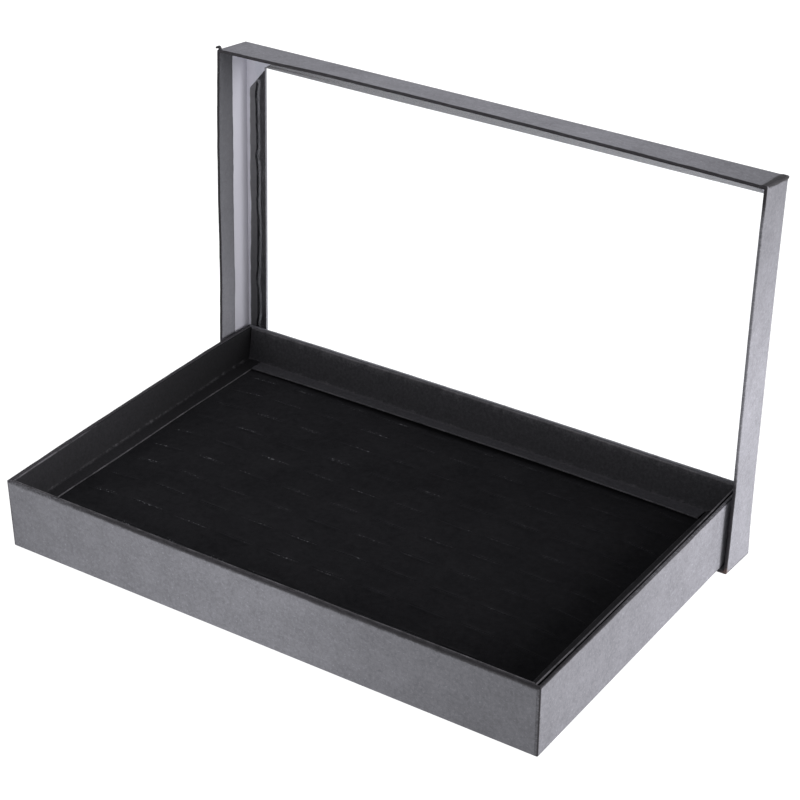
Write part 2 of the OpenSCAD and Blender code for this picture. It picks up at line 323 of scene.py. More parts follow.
# ---------------------------------------------------------------- tray covering paper
def build_tray_wrap():
    b = Build()
    seam_y = [1.25 / TW, 2.6 / TW, 0.6 / TW]
    loop = Loop(-TL / 2, TL / 2, 0, TW, 190, 126, 4, 0.5,
                extra_x=[1 - 0.9 / TL, 1 - 1.3 / TL, 1 - 1.45 / TL, 1 - 1.9 / TL, 1 - 2.6 / TL], extra_y=seam_y)

    def place(loop, d, z):
        xy = loop.points(d)
        return np.column_stack([xy, np.full(len(xy), z)])
    R = 0.42
    outer = [(8.0, 0.0, {}), (3.0, 0.0, {}), (1.0, 0.0, {})]
    outer += [(x, y, {}) for x, y in arc(0.45, 0.45, 0.45, 270, 180, 4)]
    outer += [(0.0, z, {}) for z in (1.4, 2.4, 4, 6, 8, 10, 12, 14, 16, 18, 20, 22, 23.5, 25, 26, 26.6, 27.1, 27.5, 27.8, 28.1, 28.35)]
    outer += [(x, y, {}) for x, y in arc(R, TH - R, R, 180, 90, 5)]
    outer += [(0.62, TH, {}), (0.82, TH, {})]
    outer += [(x, y, {}) for x, y in arc(SKIN - 0.32, TH - 0.32, 0.32, 90, 0, 4)]
    outer += [(SKIN, z, {}) for z in (28.2, 27, 25, 23, 21, 19, 17.4, 17.0)]
    inner = [(SKIN - PAPER, z, {}) for z in (17.0, 17.4, 19, 21, 23, 25, 27, 28.2)]
    inner += [(SKIN - PAPER - 0.1, TH - PAPER - 0.1, {}), (0.82, TH - PAPER, {}), (0.62, TH - PAPER, {}), (0.42, TH - PAPER, {}), (PAPER, TH - PAPER - 0.25, {})]
    inner += [(PAPER, z, {}) for z in (28.1, 27.4, 26, 23.5, 20, 16, 12, 8, 4, 1.4, 0.5)]
    inner += [(0.5, PAPER, {}), (1.0, PAPER, {}), (3.0, PAPER, {}), (8.0, PAPER, {})]
    ro, ri = shell(b, loop, outer, inner, place)
    join_rows(b, ro[-1], ri[0])
    loop.cap(b, ro[0], flip=True)
    loop.cap(b, ri[-1])
    V = np.concatenate(b.v)
    x, y, z = V.T
    # which wall each point is on and where it lies along that wall
    d_f, d_b, d_l, d_r = y, TW - y, x + TL / 2, TL / 2 - x
    dmin = np.minimum(np.minimum(d_f, d_b), np.minimum(d_l, d_r))
    on_f = (d_f <= d_l) & (d_f <= d_r) & (d_f <= d_b)
    on_b = (d_b <= d_l) & (d_b <= d_r) & ~on_f
    on_r = ~on_f & ~on_b & (d_r < d_l)
    run = np.where(on_f, x + 200, np.where(on_b, x + 900, np.where(on_r, y + 2500, y + 1700)))
    outside = (dmin < 0.02) & (z > 0.6)
    # the folded edge isn't dead straight
    w = 0.13 * noise1(run, 5, 6.5) + 0.08 * noise1(run, 6, 2.2)
    z = z + np.where(z > 27.9, 0.4 * w, 0)
    push = np.where(outside, 0.05 * noise2(run, z * 1.2, 9, 14) + 0.03 * noise2(run, z, 10, 3.1), 0)
    # lap of the side paper round the front right corner
    lap = (d_f < 0.3) & (d_r < 1.42) & (d_r > 0.02) & (z < 28.5) & (z > 0.6)
    push = push - np.where(lap, 0.13 * smooth(d_r, 0.1, 0.7), 0)
    nx = np.where(d_l < 0.3, -1, np.where(d_r < 0.3, 1, 0)) * ((d_f > 0.5) & (d_b > 0.5))
    ny = np.where(d_f < 0.3, -1, np.where(d_b < 0.3, 1, 0))
    x = x + nx * push
    y = y + ny * push
    b.v = [np.column_stack([x, y, z])]
    # handled fold, dark along the rim, fading and streaked a millimetre or so down the wall: partly rubbing wear,
    # partly painted shade of the rounded fold, set weaker on the back wall and towards the front wall's left end to
    # follow the light
    wob = 0.22 * noise1(run, 15, 7.0) + 0.15 * noise1(run, 16, 2.6)
    depth = np.where(on_r, 0.8, np.where(on_f, 2.35 - 0.45 * smooth(-x, 30, 110), 0.8)) + wob
    edge = smooth(z, TH - 0.25 - depth, TH - 0.15) * np.where(on_r, 1.0, np.where(on_b, 0.45, 1.0))
    edge = edge * np.where(on_f, 1 - 0.40 * smooth(-x, 50, 110), 1)
    # painted light: the dark band is taken back on the right rim's top towards the back, on the left rim and along the
    # middle of the back rim
    top = (z > TH - 0.12) & (dmin < 1.0)
    edge = edge - np.where(top & on_r, 0.34 * smooth(y, 25, 75), 0) - np.where(top & (d_l < 1.3), 0.15, 0)
    edge = edge - np.where(top & on_b & (dmin > 0.2), 0.40 * smooth(np.abs(x + 5), 112, 60), 0)
    vert = np.minimum(np.minimum(np.hypot(d_l, d_f), np.hypot(d_r, d_f)), np.minimum(np.hypot(d_l, d_b), np.hypot(d_r, d_b)))
    edge = np.maximum(edge, smooth(vert, 0.80, 0.25) * (z > 0.3) * 0.92)
    edge = np.maximum(edge, np.where(lap, 0.30, 0))
    edge = np.maximum(edge, np.where((np.abs(d_r - 1.38) < 0.12) & (d_f < 0.3), 0.34, 0))
    # painted shade: the paper turned in over the rim, inside the tray, takes the darker inner colour
    inside = smooth(dmin, 0.95, 1.2)
    # painted light and shade: gain on the paper's colour, the front wall lighter in its middle and darker towards its
    # right end, the right wall darker towards the front
    tone = np.where(on_f, curve(x, (-117, -60, 0, 60, 117), (0.92, 1.12, 1.22, 0.88, 0.71)), 1.0)
    tone = np.where(on_r, curve(y, (0, 60, 120, 155), (0.75, 0.83, 0.98, 1.03)), tone)
    b.a = {"edge": [np.clip(edge, 0, 1)], "inside": [inside], "run": [run / 1000.0], "tone": [tone]}
    return b.object("tray_wrap_paper", tray_place, smooth_angle=50)


# ---------------------------------------------------------------- lid covering paper
def lid_ring_points(loop, d, h):
    xz = loop.points(d)
    return np.column_stack([xz[:, 0], np.full(len(xz), h), xz[:, 1]])


def build_lid_wrap():
    b = Build()
    loop = Loop(-LL / 2, LL / 2, 0, LH, 190, 126, 4, 0.6, extra_x=[1 - 1.0 / LL, 1 - 1.5 / LL, 1 - 2.1 / LL, 1 - 2.8 / LL, 1 - 3.4 / LL, 1 - 4.1 / LL])
    R = 0.42
    outer = [(SKIN, 7.0, {}), (SKIN, 6.85, {}), (SKIN, 6.6, {}), (SKIN, 5.2, {}), (SKIN, 3.8, {}), (SKIN, 2.4, {}), (SKIN, 1.2, {})]
    outer += [(x, y, {}) for x, y in arc(SKIN - 0.32, 0.32, 0.32, 0, -90, 4)]
    outer += [(0.82, 0.0, {}), (0.62, 0.0, {})]
    outer += [(x, y, {}) for x, y in arc(R, R, R, 270, 180, 5)]
    outer += [(0.0, y, {}) for y in (0.65, 0.95, 1.5, 2.2, 3.4, 5, 7, 9, 11, 13, 15, 16.4, 17.4)]
    outer += [(x, y, {}) for x, y in arc(0.7, LD - 0.7, 0.7, 180, 90, 5)]
    outer += [(d, LD, {}) for d in (1.3, 2.5, 4.5, 6.5, 8.2, 9.2)]
    outer += [(x, y, {}) for x, y in arc(9.7, LD - 0.3, 0.3, 90, 0, 3)]
    outer += [(10.0, y, {}) for y in (18.4, 18.0, 17.76)]
    inner = [(10.0 - PAPER, y, {}) for y in (17.76, 18.0, 18.4, 18.65)]
    inner += [(9.6, LD - PAPER, {}), (8.2, LD - PAPER, {}), (4.5, LD - PAPER, {}), (1.3, LD - PAPER, {}), (0.75, LD - PAPER, {}), (PAPER, LD - 0.75, {})]
    inner += [(PAPER, y, {}) for y in (16.4, 13, 9, 5, 2.2, 0.9, 0.45)]
    inner += [(0.42, PAPER, {}), (0.62, PAPER, {}), (SKIN - 0.4, PAPER, {}), (SKIN - PAPER, 0.42, {})]
    inner += [(SKIN - PAPER, y, {}) for y in (1.2, 2.4, 3.8, 5.2, 6.6, 6.85, 7.0)]
    ro, ri = shell(b, loop, outer, inner, lid_ring_points)
    join_rows(b, ro[-1], ri[0])
    join_rows(b, ri[-1], ro[0])
    V = np.concatenate(b.v)
    x, y, z = V.T
    d_t, d_b, d_l, d_r = LH - z, z, x + LL / 2, LL / 2 - x
    dmin = np.minimum(np.minimum(d_t, d_b), np.minimum(d_l, d_r))
    on_t = (d_t <= d_l) & (d_t <= d_r) & (d_t <= d_b)
    on_b = (d_b <= d_l) & (d_b <= d_r) & ~on_t
    on_r = ~on_t & ~on_b & (d_r < d_l)
    run = np.where(on_t, x + 200, np.where(on_b, x + 900, np.where(on_r, z + 2500, z + 1700)))
    sx = np.where(d_l <= np.minimum(d_t, d_b), -1, np.where(d_r <= np.minimum(d_t, d_b), 1, 0))
    sz = np.where(sx == 0, np.where(d_t < d_b, 1, -1), 0)
    outside = (dmin < 0.02)
    push = np.where(outside, 0.05 * noise2(run, y, 19, 12) + 0.03 * noise2(run, y, 20, 3.3), 0)
    # the side paper's end is rolled over the upper right corner
    roll = on_t & (d_r < 4.0) & (d_t < 0.3)
    push = push + np.where(roll, 0.24 * smooth(d_r, 3.6, 1.6), 0)
    xs = x + sx * push
    zs = z + sz * np.where(sz < 0, 0, push)
    ys = y + np.where(y < 0.5, 0.09 * noise1(run, 25, 7) + 0.04 * noise1(run, 26, 2), 0)
    # raw edge of the turned-in paper wanders a little
    tip = (dmin > SKIN - PAPER - 0.02) & (dmin < SKIN + 0.02) & (y > 6.5) & (y < 8)
    ys = ys + np.where(tip, (y - 6.5) / 0.5 * (0.22 * noise1(run, 27, 9) + 0.10 * noise1(run, 28, 2)), 0)
    turned = (dmin > SKIN - PAPER - 0.02) & (dmin < SKIN + 0.02) & (y > 1.1) & (y < 8)
    ys = np.where(turned, 1.1 + (ys - 1.1) * (TURN - 1.1) / 5.9, ys)
    # the top paper's end stands out a little past the right wall, more towards the back
    xs = xs + np.where((d_t < 0.7) & (d_r < 0.8), 0.42 * smooth(y, 3, 17), 0)
    face = (y > 17.7) & (dmin > 1.25)
    xs = np.where(face, win_x(xs), xs)
    b.v = [np.column_stack([xs, ys, zs])]
    # rim darkened along the front fold: partly rubbing wear, partly painted shade of the rounded rim, weaker where the
    # paper is turned in
    wavy = 0.42 + 0.10 * noise1(run, 31, 5.5) + 0.08 * noise1(run, 32, 1.7)
    rim_edge = smooth(y, wavy + 0.22, wavy - 0.22) * np.where(dmin > SKIN - 0.05, 0.4, 1)
    # the dark band is weaker on the right wall's rim, apart from its ends: painted light, where that rim catches the
    # light
    weak = 0.36 + 0.64 * np.maximum(smooth(z, 146, 158), smooth(-z, -52, -32))
    rim_edge = rim_edge * np.where(on_r, weak, 1)
    edge = rim_edge
    edge = np.maximum(edge, np.where(roll & (y < 18.2), 0.98 * smooth(d_r, 2.5 + 1.1 * smooth(y, 2, 12) - 0.35 * noise1(y, 33, 3), 1.9), 0))
    vert = np.minimum(np.hypot(d_l, d_t), np.minimum(np.hypot(d_l, d_b), np.hypot(d_r, d_b)))
    edge = np.maximum(edge, smooth(vert, 1.0, 0.4) * (y < 18.6) * 0.8)
    fold = smooth(np.hypot(np.maximum(dmin, 0), LD - y), 0.95, 0.5)
    edge = np.maximum(edge, 0.32 * fold)
    # painted shade: the turned-in paper inside the lid takes the darker inner colour, darker still deeper in towards
    # the window; its raw end is a dark cut edge
    inside = smooth(dmin, 1.0, 1.22) * (y < 8)
    deep = np.where((y < 8) & (dmin > 1.0), np.clip(y / 7.0, 0, 1) ** 1.3, 0)
    deep = np.maximum(deep, np.where(tip, 1.6 * smooth(y, 6.62, 6.9), 0))
    # a small tear at the lower right corner of the rim
    scuff = smooth(np.sqrt((x - 119.6) ** 2 + (y - 0.2) ** 2 + (z - 0.8) ** 2), 2.4, 1.0)
    edge = np.maximum(edge, 0.95 * (on_r & (d_r < 0.3)) * (y > 1.0) * smooth(z, 159.35 - 1.5 * y / 19, 159.75 - 1.0 * y / 19))
    # painted light and shade: the right wall's paper darker towards the top, the top wall's darker at its right end,
    # and the turned-in paper in the left half darker towards the top
    tone = np.where(on_r, curve(z, (0, 30, 80, 120, 140, 160), (1.10, 1.08, 1.13, 0.90, 0.75, 0.68)), 1.0)
    tone = np.where(on_t, curve(x, (-120, -60, 40, 95, 120), (1.16, 1.22, 1.22, 1.0, 0.84)), tone)
    tone = np.where(dmin > 0.9, np.where((x < 0) & ~on_t & ~on_b, curve(z, (0, 40, 85, 128, 160), (1.12, 1.08, 0.76, 0.67, 0.66)), 1.0), tone)
    b.a = {"edge": [np.clip(edge, 0, 1)], "inside": [inside], "run": [run / 1000.0], "flap": [np.zeros(b.n)],
           "deep": [deep], "scuff": [scuff], "tone": [tone], "wet": [np.zeros(b.n)]}
    # four flaps turned in behind the window, mitred, glued to the white lining
    y0, y1 = 17.55, 17.75

    def flap(cx, cz, ux, uz, vx, vz, half, seed, fw, mitre, wet, tone=lambda u: 1.0 + 0 * u):
        nu, nv = 120, 20
        layers = []
        for (yy, lay) in ((y0, 0), (y1, 1)):
            v = (fw * np.arange(nv + 1) / nv - 0.02)[None, :] + np.zeros((nu + 1, 1))
            t = (np.arange(nv + 1) / nv)[None, :] + np.zeros((nu + 1, 1))
            u = (half - 0.25 - mitre * np.maximum(v, 0)) * (2 * np.arange(nu + 1) / nu - 1)[:, None]
            vv = v + (0.25 * noise1(u, seed, 11) + 0.12 * noise1(u, seed + 1, 2.3)) * t ** 2
            lift = 0.08 * t ** 2 * (1 + noise1(u, seed + 2, 7)) * (1 if lay == 0 else 0.6)
            G = np.stack([cx + ux * u + vx * vv, yy - lift, cz + uz * u + vz * vv], -1)
            ids = b.add(G.reshape(-1, 3), edge=0.0, inside=1.0, run=(3.0 + seed + G[:, :, 0].ravel() / 1000), flap=1.0,
                        deep=(0.9 * smooth(t, 0.93, 0.99)).ravel(), scuff=0.0, tone=tone(u).ravel(),
                        wet=np.asarray(wet(u, v)).ravel()).reshape(nu + 1, nv + 1)
            layers.append(ids)
        A, B = layers
        b.quads(A)
        b.quads(B, flip=True)
        b.quads([A[:, 0], B[:, 0]], flip=True)
        b.quads([A[:, -1], B[:, -1]])
        b.quads([A[0], B[0]])
        b.quads([A[-1], B[-1]], flip=True)
    stuck = lambda u, v: smooth(v, 4.55, 4.35) + 0.0 * u
    # painted light: the top flap is made lighter, more towards its right end; painted shade: the left flap is darker
    # towards its lower end
    flap(1.55, 150.0, 1, 0, 0, 1, 110.95, 41, 7.15, 1.25, lambda u, v: smooth(-u, 66, 100) * (np.exp(-((v - 1.15 - 0.010 * (u + 108)) / 0.42) ** 2) + 0.7 * np.exp(-((v - 2.5) / 0.4) ** 2)),
         lambda u: curve(u, (-110, -60, 50, 110), (1.3, 1.6, 2.15, 2.4)))
    flap(1.55, 10.0, 1, 0, 0, -1, 110.95, 45, 7.15, 1.0, stuck)
    flap(-109.4, 80.0, 0, 1, -1, 0, 69.2, 49, 7.75, 1.2, stuck, lambda u: curve(u, (-70, -40, 30, 70), (0.46, 0.52, 0.88, 0.95)))
    flap(112.5, 80.0, 0, 1, 1, 0, 70.0, 53, 4.65, 1.0, stuck)

    # a curled tip of paper left standing on the upper left corner of the rim
    def curl(px, py, pz, width, turns):
        n = len(turns)
        rows = []
        cx_, cz_, ang = px, pz, 78.0
        path = [(cx_, cz_, ang)]
        for da, step in turns:
            ang += da
            cx_ += step * math.cos(math.radians(ang))
            cz_ += step * math.sin(math.radians(ang))
            path.append((cx_, cz_, ang))
        for i, (qx, qz, a) in enumerate(path):
            wdt = width * (1 - 0.35 * i / n)
            nx_, nz_ = -math.sin(math.radians(a)) * 0.31, math.cos(math.radians(a)) * 0.31
            rows.append(b.add([(qx - nx_, py, qz - nz_), (qx + nx_, py, qz + nz_), (qx + nx_, py + wdt, qz + nz_), (qx - nx_, py + wdt, qz - nz_)],
                              edge=1.0, inside=0.0, run=5.0, flap=0.0, deep=0.0, scuff=0.0, tone=1.0, wet=0.0))
        b.quads(rows, close_v=True)
        b.face(rows[0])
        b.face(rows[-1], flip=True)
    curl(-118.95, 0.05, 159.3, 1.5, [(4, 0.55), (6, 0.55), (12, 0.5), (30, 0.42), (40, 0.38), (34, 0.40), (26, 0.42), (30, 0.35)])
    return b.object("lid_wrap_paper", lid_place, smooth_angle=50)


# ---------------------------------------------------------------- boards, bent with their paper
def build_board(name, lo, hi, n, place, hole=None):
    b = Build()
    if hole is None:
        grid_box(b, lo, hi, n)
    else:
        # a panel lying across y with a rectangular window
        (x0, y0, z0), (x1, y1, z1) = lo, hi
        hx0, hx1, hz0, hz1 = hole
        X = np.concatenate([np.linspace(x0, hx0, 4), np.linspace(hx0, hx1, n[0] + 1)[1:-1], np.linspace(hx1, x1, 4)])
        Z = np.concatenate([np.linspace(z0, hz0, 4), np.linspace(hz0, hz1, n[2] + 1)[1:-1], np.linspace(hz1, z1, 4)])
        ids = {}

        def vid(i, k, s):
            if (i, k, s) not in ids:
                ids[(i, k, s)] = int(b.add([[X[i], (y0, y1)[s], Z[k]]])[0])
            return ids[(i, k, s)]
        solid = lambda i, k: 0 <= i < len(X) - 1 and 0 <= k < len(Z) - 1 and not (
            hx0 < (X[i] + X[i + 1]) / 2 < hx1 and hz0 < (Z[k] + Z[k + 1]) / 2 < hz1)
        for i in range(len(X) - 1):
            for k in range(len(Z) - 1):
                if not solid(i, k):
                    continue
                b.face([vid(i, k, 0), vid(i + 1, k, 0), vid(i + 1, k + 1, 0), vid(i, k + 1, 0)])
                b.face([vid(i, k, 1), vid(i, k + 1, 1), vid(i + 1, k + 1, 1), vid(i + 1, k, 1)])
                if not solid(i - 1, k):
                    b.face([vid(i, k, 0), vid(i, k + 1, 0), vid(i, k + 1, 1), vid(i, k, 1)])
                if not solid(i + 1, k):
                    b.face([vid(i + 1, k, 0), vid(i + 1, k, 1), vid(i + 1, k + 1, 1), vid(i + 1, k + 1, 0)])
                if not solid(i, k - 1):
                    b.face([vid(i, k, 0), vid(i, k, 1), vid(i + 1, k, 1), vid(i + 1, k, 0)])
                if not solid(i, k + 1):
                    b.face([vid(i, k + 1, 0), vid(i + 1, k + 1, 0), vid(i + 1, k + 1, 1), vid(i, k + 1, 1)])
    return b.object(name, place, smooth_angle=30)


# ---------------------------------------------------------------- ring insert: foam and its flocked sheet
COLS, ROWS = 10, 10
PX, PY, SLIT = 21.3, 13.35, 16.0
IX = TL / 2 - SKIN - 0.15
IY0, IY1 = SKIN + 0.15, TW - SKIN - 0.15


def crown(x, y):
    """Height of the insert's face: held down under the flanges, it swells between them."""
    s = lambda d, w: 1 - (1 - np.clip(d / w, 0, 1)) ** 2
    k = s(108.05 - np.abs(x), 30.0) * s(y - 9.95, 26.0) * s(144.05 - y, 26.0)
    return 14.8 + k * (2.6 + 0.25 * noise2(x, y, 61, 38))


def slit_table():
    r = np.random.default_rng(99)
    t = {}
    for i in range(COLS):
        for j in range(ROWS):
            t[i, j] = dict(open=r.uniform(0.02, 0.06), lip=r.uniform(0.08, 0.26), dx=r.uniform(-0.5, 0.5), dy=r.uniform(-0.18, 0.18),
                           turn=r.uniform(-0.010, 0.010), bow=r.uniform(-0.25, 0.25), side=r.uniform(-0.6, 0.6))
    return t


def build_insert(name, foam):
    """foam=False: the flocked sheet, a thin skin cut by the slits. foam=True: the block under it."""
    b = Build()
    S = slit_table()
    cx = [(i - (COLS - 1) / 2) * PX for i in range(COLS)]
    cy = [TW / 2 + (j - (ROWS - 1) / 2) * PY for j in range(ROWS)]
    offx = [-8.0, -7.4, -6.2, -4.2, -1.5, 1.5, 4.2, 6.2, 7.4, 8.0]
    offy = [-4.2, -2.4, -1.4, -0.85, -0.5, -0.25, 0, 0.25, 0.5, 0.85, 1.4, 2.4, 4.2]
    X, xs = [], {}
    for t in (-IX, -IX + 0.8, -IX + 3, cx[0] - PX / 2 + 1.2):
        X.append(t)
    for i, c in enumerate(cx):
        for o in offx:
            xs[i, o] = len(X)
            X.append(c + o)
        if i < COLS - 1:
            X.append(c + PX / 2)
    for t in (cx[-1] + PX / 2 - 1.2, IX - 3, IX - 0.8, IX):
        X.append(t)
    Y, ys = [], {}
    for t in (IY0, IY0 + 0.8, IY0 + 3, IY0 + 5.5, cy[0] - PY / 2 + 0.6):
        Y.append(t)
    for j, c in enumerate(cy):
        for o in offy:
            ys[j, o] = len(Y)
            Y.append(c + o)
        if j < ROWS - 1:
            Y.append(c + PY / 2)
    for t in (cy[-1] + PY / 2 - 0.6, IY1 - 5.5, IY1 - 3, IY1 - 0.8, IY1):
        Y.append(t)
    X, Y = np.array(X), np.array(Y)
    nx, ny = len(X), len(Y)
    GX, GY = np.meshgrid(X, Y, indexing="ij")
    PXs, PYs = GX.copy(), GY.copy()
    lip_a = np.zeros_like(GX)
    dz = np.zeros_like(GX)
    dip = np.zeros_like(GX)
    row_of = np.full(ny, -1)
    for j in range(ROWS):
        for o in offy:
            row_of[ys[j, o]] = j
    openw = {}
    for i in range(COLS):
        for j in range(ROWS):
            s = S[i, j]
            i0, i1 = xs[i, -8.0], xs[i, 8.0]
            for a in range(i0 - 1, i1 + 2):
                u = np.clip((X[a] - cx[i]) / 8.0, -1.2, 1.2)
                win = np.clip(1 - u * u, 0, 1)
                fade = np.clip(1.25 - abs(u), 0, 1)
                for o in offy:
                    c = ys[j, o]
                    near = math.exp(-(o / 2.2) ** 2)
                    PYs[a, c] += near * fade * (s["dy"] + s["turn"] * (X[a] - cx[i]) + s["bow"] * (win - 0.5))
                    PXs[a, c] += near * s["dx"] * fade
                    # lips turned up a little, one more than the other
                    g = math.exp(-((abs(o) - 0.42) / 0.48) ** 2)
                    side = 1 + s["side"] * (1 if o > 0 else -1 if o < 0 else 0)
                    dz[a, c] += s["lip"] * side * g * win ** 0.6
                    dip[a, c] -= 0.18 * math.exp(-((abs(o) - 2.4) / 1.3) ** 2) * win
                    lip_a[a, c] = max(lip_a[a, c], g * win ** 0.5 * side)
                if i0 < a < i1:
                    openw[a, ys[j, 0]] = s["open"] * win ** 0.5
    dz = dz + dip
    wav = 0.05 * noise2(PXs, PYs, 63, 5) * smooth(np.minimum(np.minimum(IX - np.abs(PXs), PYs - IY0), IY1 - PYs), 9, 14)
    t = 0.6
    H = crown(PXs, PYs) + dz + wav
    if foam:
        H = crown(PXs, PYs) + np.minimum(dip, 0) + wav - t - 0.02
    top = -np.ones((nx, ny, 2), int)
    bot = -np.ones((nx, ny, 2), int)
    for a in range(nx):
        for c in range(ny):
            w = openw.get((a, c))
            z = H[a, c]
            if not foam:
                d = min(IX - abs(X[a]), Y[c] - IY0, IY1 - Y[c])
                z = z - 0.35 * (1 - min(max(d, 0) / 0.8, 1)) ** 2
            if w is None:
                k = b.add([[PXs[a, c], PYs[a, c], z]], lip=lip_a[a, c], deep=0)[0]
                top[a, c] = (k, k)
            else:
                wf = w if not foam else 0.4
                k0 = b.add([[PXs[a, c], PYs[a, c] - wf, z - (0.05 if not foam else 0)]], lip=lip_a[a, c], deep=0.2)[0]
                k1 = b.add([[PXs[a, c], PYs[a, c] + wf, z - (0.05 if not foam else 0)]], lip=lip_a[a, c], deep=0.2)[0]
                top[a, c] = (k0, k1)
    # top faces
    for a in range(nx - 1):
        for c in range(ny - 1):
            q = [top[a, c, 1], top[a + 1, c, 1], top[a + 1, c + 1, 0], top[a, c + 1, 0]]
            b.face(q)
    if not foam:
        # underside of the sheet and the cut edges
        for a in range(nx):
            for c in range(ny):
                k0, k1 = top[a, c]
                wf = openw.get((a, c), 0.0)
                p0 = (PXs[a, c], PYs[a, c] - wf)
                if k0 == k1:
                    m = b.add([[p0[0], p0[1], H[a, c] - t]], lip=0, deep=1)[0]
                    bot[a, c] = (m, m)
                else:
                    p1 = (PXs[a, c], PYs[a, c] + wf)
                    m0 = b.add([[p0[0], p0[1], H[a, c] - t]], lip=0, deep=1)[0]
                    m1 = b.add([[p1[0], p1[1], H[a, c] - t]], lip=0, deep=1)[0]
                    bot[a, c] = (m0, m1)
        for a in range(nx - 1):
            for c in range(ny - 1):
                b.face([bot[a, c, 1], bot[a, c + 1, 0], bot[a + 1, c + 1, 0], bot[a + 1, c, 1]])
    else:
        for a in range(nx):
            for c in range(ny):
                if a in (0, nx - 1) or c in (0, ny - 1):
                    m = b.add([[PXs[a, c], PYs[a, c], 2.3]], lip=0, deep=1)[0]
                    bot[a, c] = (m, m)
    # slit walls
    for j in range(ROWS):
        c = ys[j, 0]
        for i in range(COLS):
            i0, i1 = xs[i, -8.0], xs[i, 8.0]
            span = list(range(i0, i1 + 1))
            if not foam:
                for a0, a1 in zip(span[:-1], span[1:]):
                    if top[a0, c, 0] != top[a1, c, 0]:
                        b.face([top[a0, c, 0], bot[a0, c, 0], bot[a1, c, 0], top[a1, c, 0]])
                        b.face([top[a0, c, 1], top[a1, c, 1], bot[a1, c, 1], bot[a0, c, 1]])
            else:
                low = {}
                for a in span:
                    if top[a, c, 0] == top[a, c, 1]:
                        m = b.add([[PXs[a, c], PYs[a, c], 5.2]], lip=0, deep=1)[0]
                        low[a] = (m, m)
                    else:
                        m0 = b.add([[PXs[a, c], PYs[a, c] - 0.38, 5.2]], lip=0, deep=1)[0]
                        m1 = b.add([[PXs[a, c], PYs[a, c] + 0.38, 5.2]], lip=0, deep=1)[0]
                        low[a] = (m0, m1)
                for a0, a1 in zip(span[:-1], span[1:]):
                    b.face([top[a0, c, 0], low[a0][0], low[a1][0], top[a1, c, 0]])
                    b.face([top[a0, c, 1], top[a1, c, 1], low[a1][1], low[a0][1]])
                    ring = [low[a0][0], low[a0][1], low[a1][1], low[a1][0]]
                    ring = [v for n_, v in enumerate(ring) if v != ring[n_ - 1]]
                    b.face(ring)
    # outer sides
    border = [(a, 0) for a in range(nx)] + [(nx - 1, c) for c in range(1, ny)] + [(a, ny - 1) for a in range(nx - 2, -1, -1)] + [(0, c) for c in range(ny - 2, 0, -1)]
    for (p, q) in zip(border, border[1:] + border[:1]):
        b.face([top[p][0], bot[p][0], bot[q][0], top[q][0]])
    if foam:
        nb = [bot[p][0] for p in border]
        # underside: strips across
        lo_row = [bot[a, 0, 0] for a in range(nx)]
        hi_row = [bot[a, ny - 1, 0] for a in range(nx)]
        for a in range(1, nx - 2):
            b.face([lo_row[a], hi_row[a], hi_row[a + 1], lo_row[a + 1]])
        b.face([bot[0, c, 0] for c in range(ny)] + [hi_row[1], lo_row[1]])
        b.face([lo_row[-2], hi_row[-2]] + [bot[nx - 1, c, 0] for c in range(ny - 1, -1, -1)])
    return b.object(name, tray_place, smooth_angle=0 if not foam else 40)


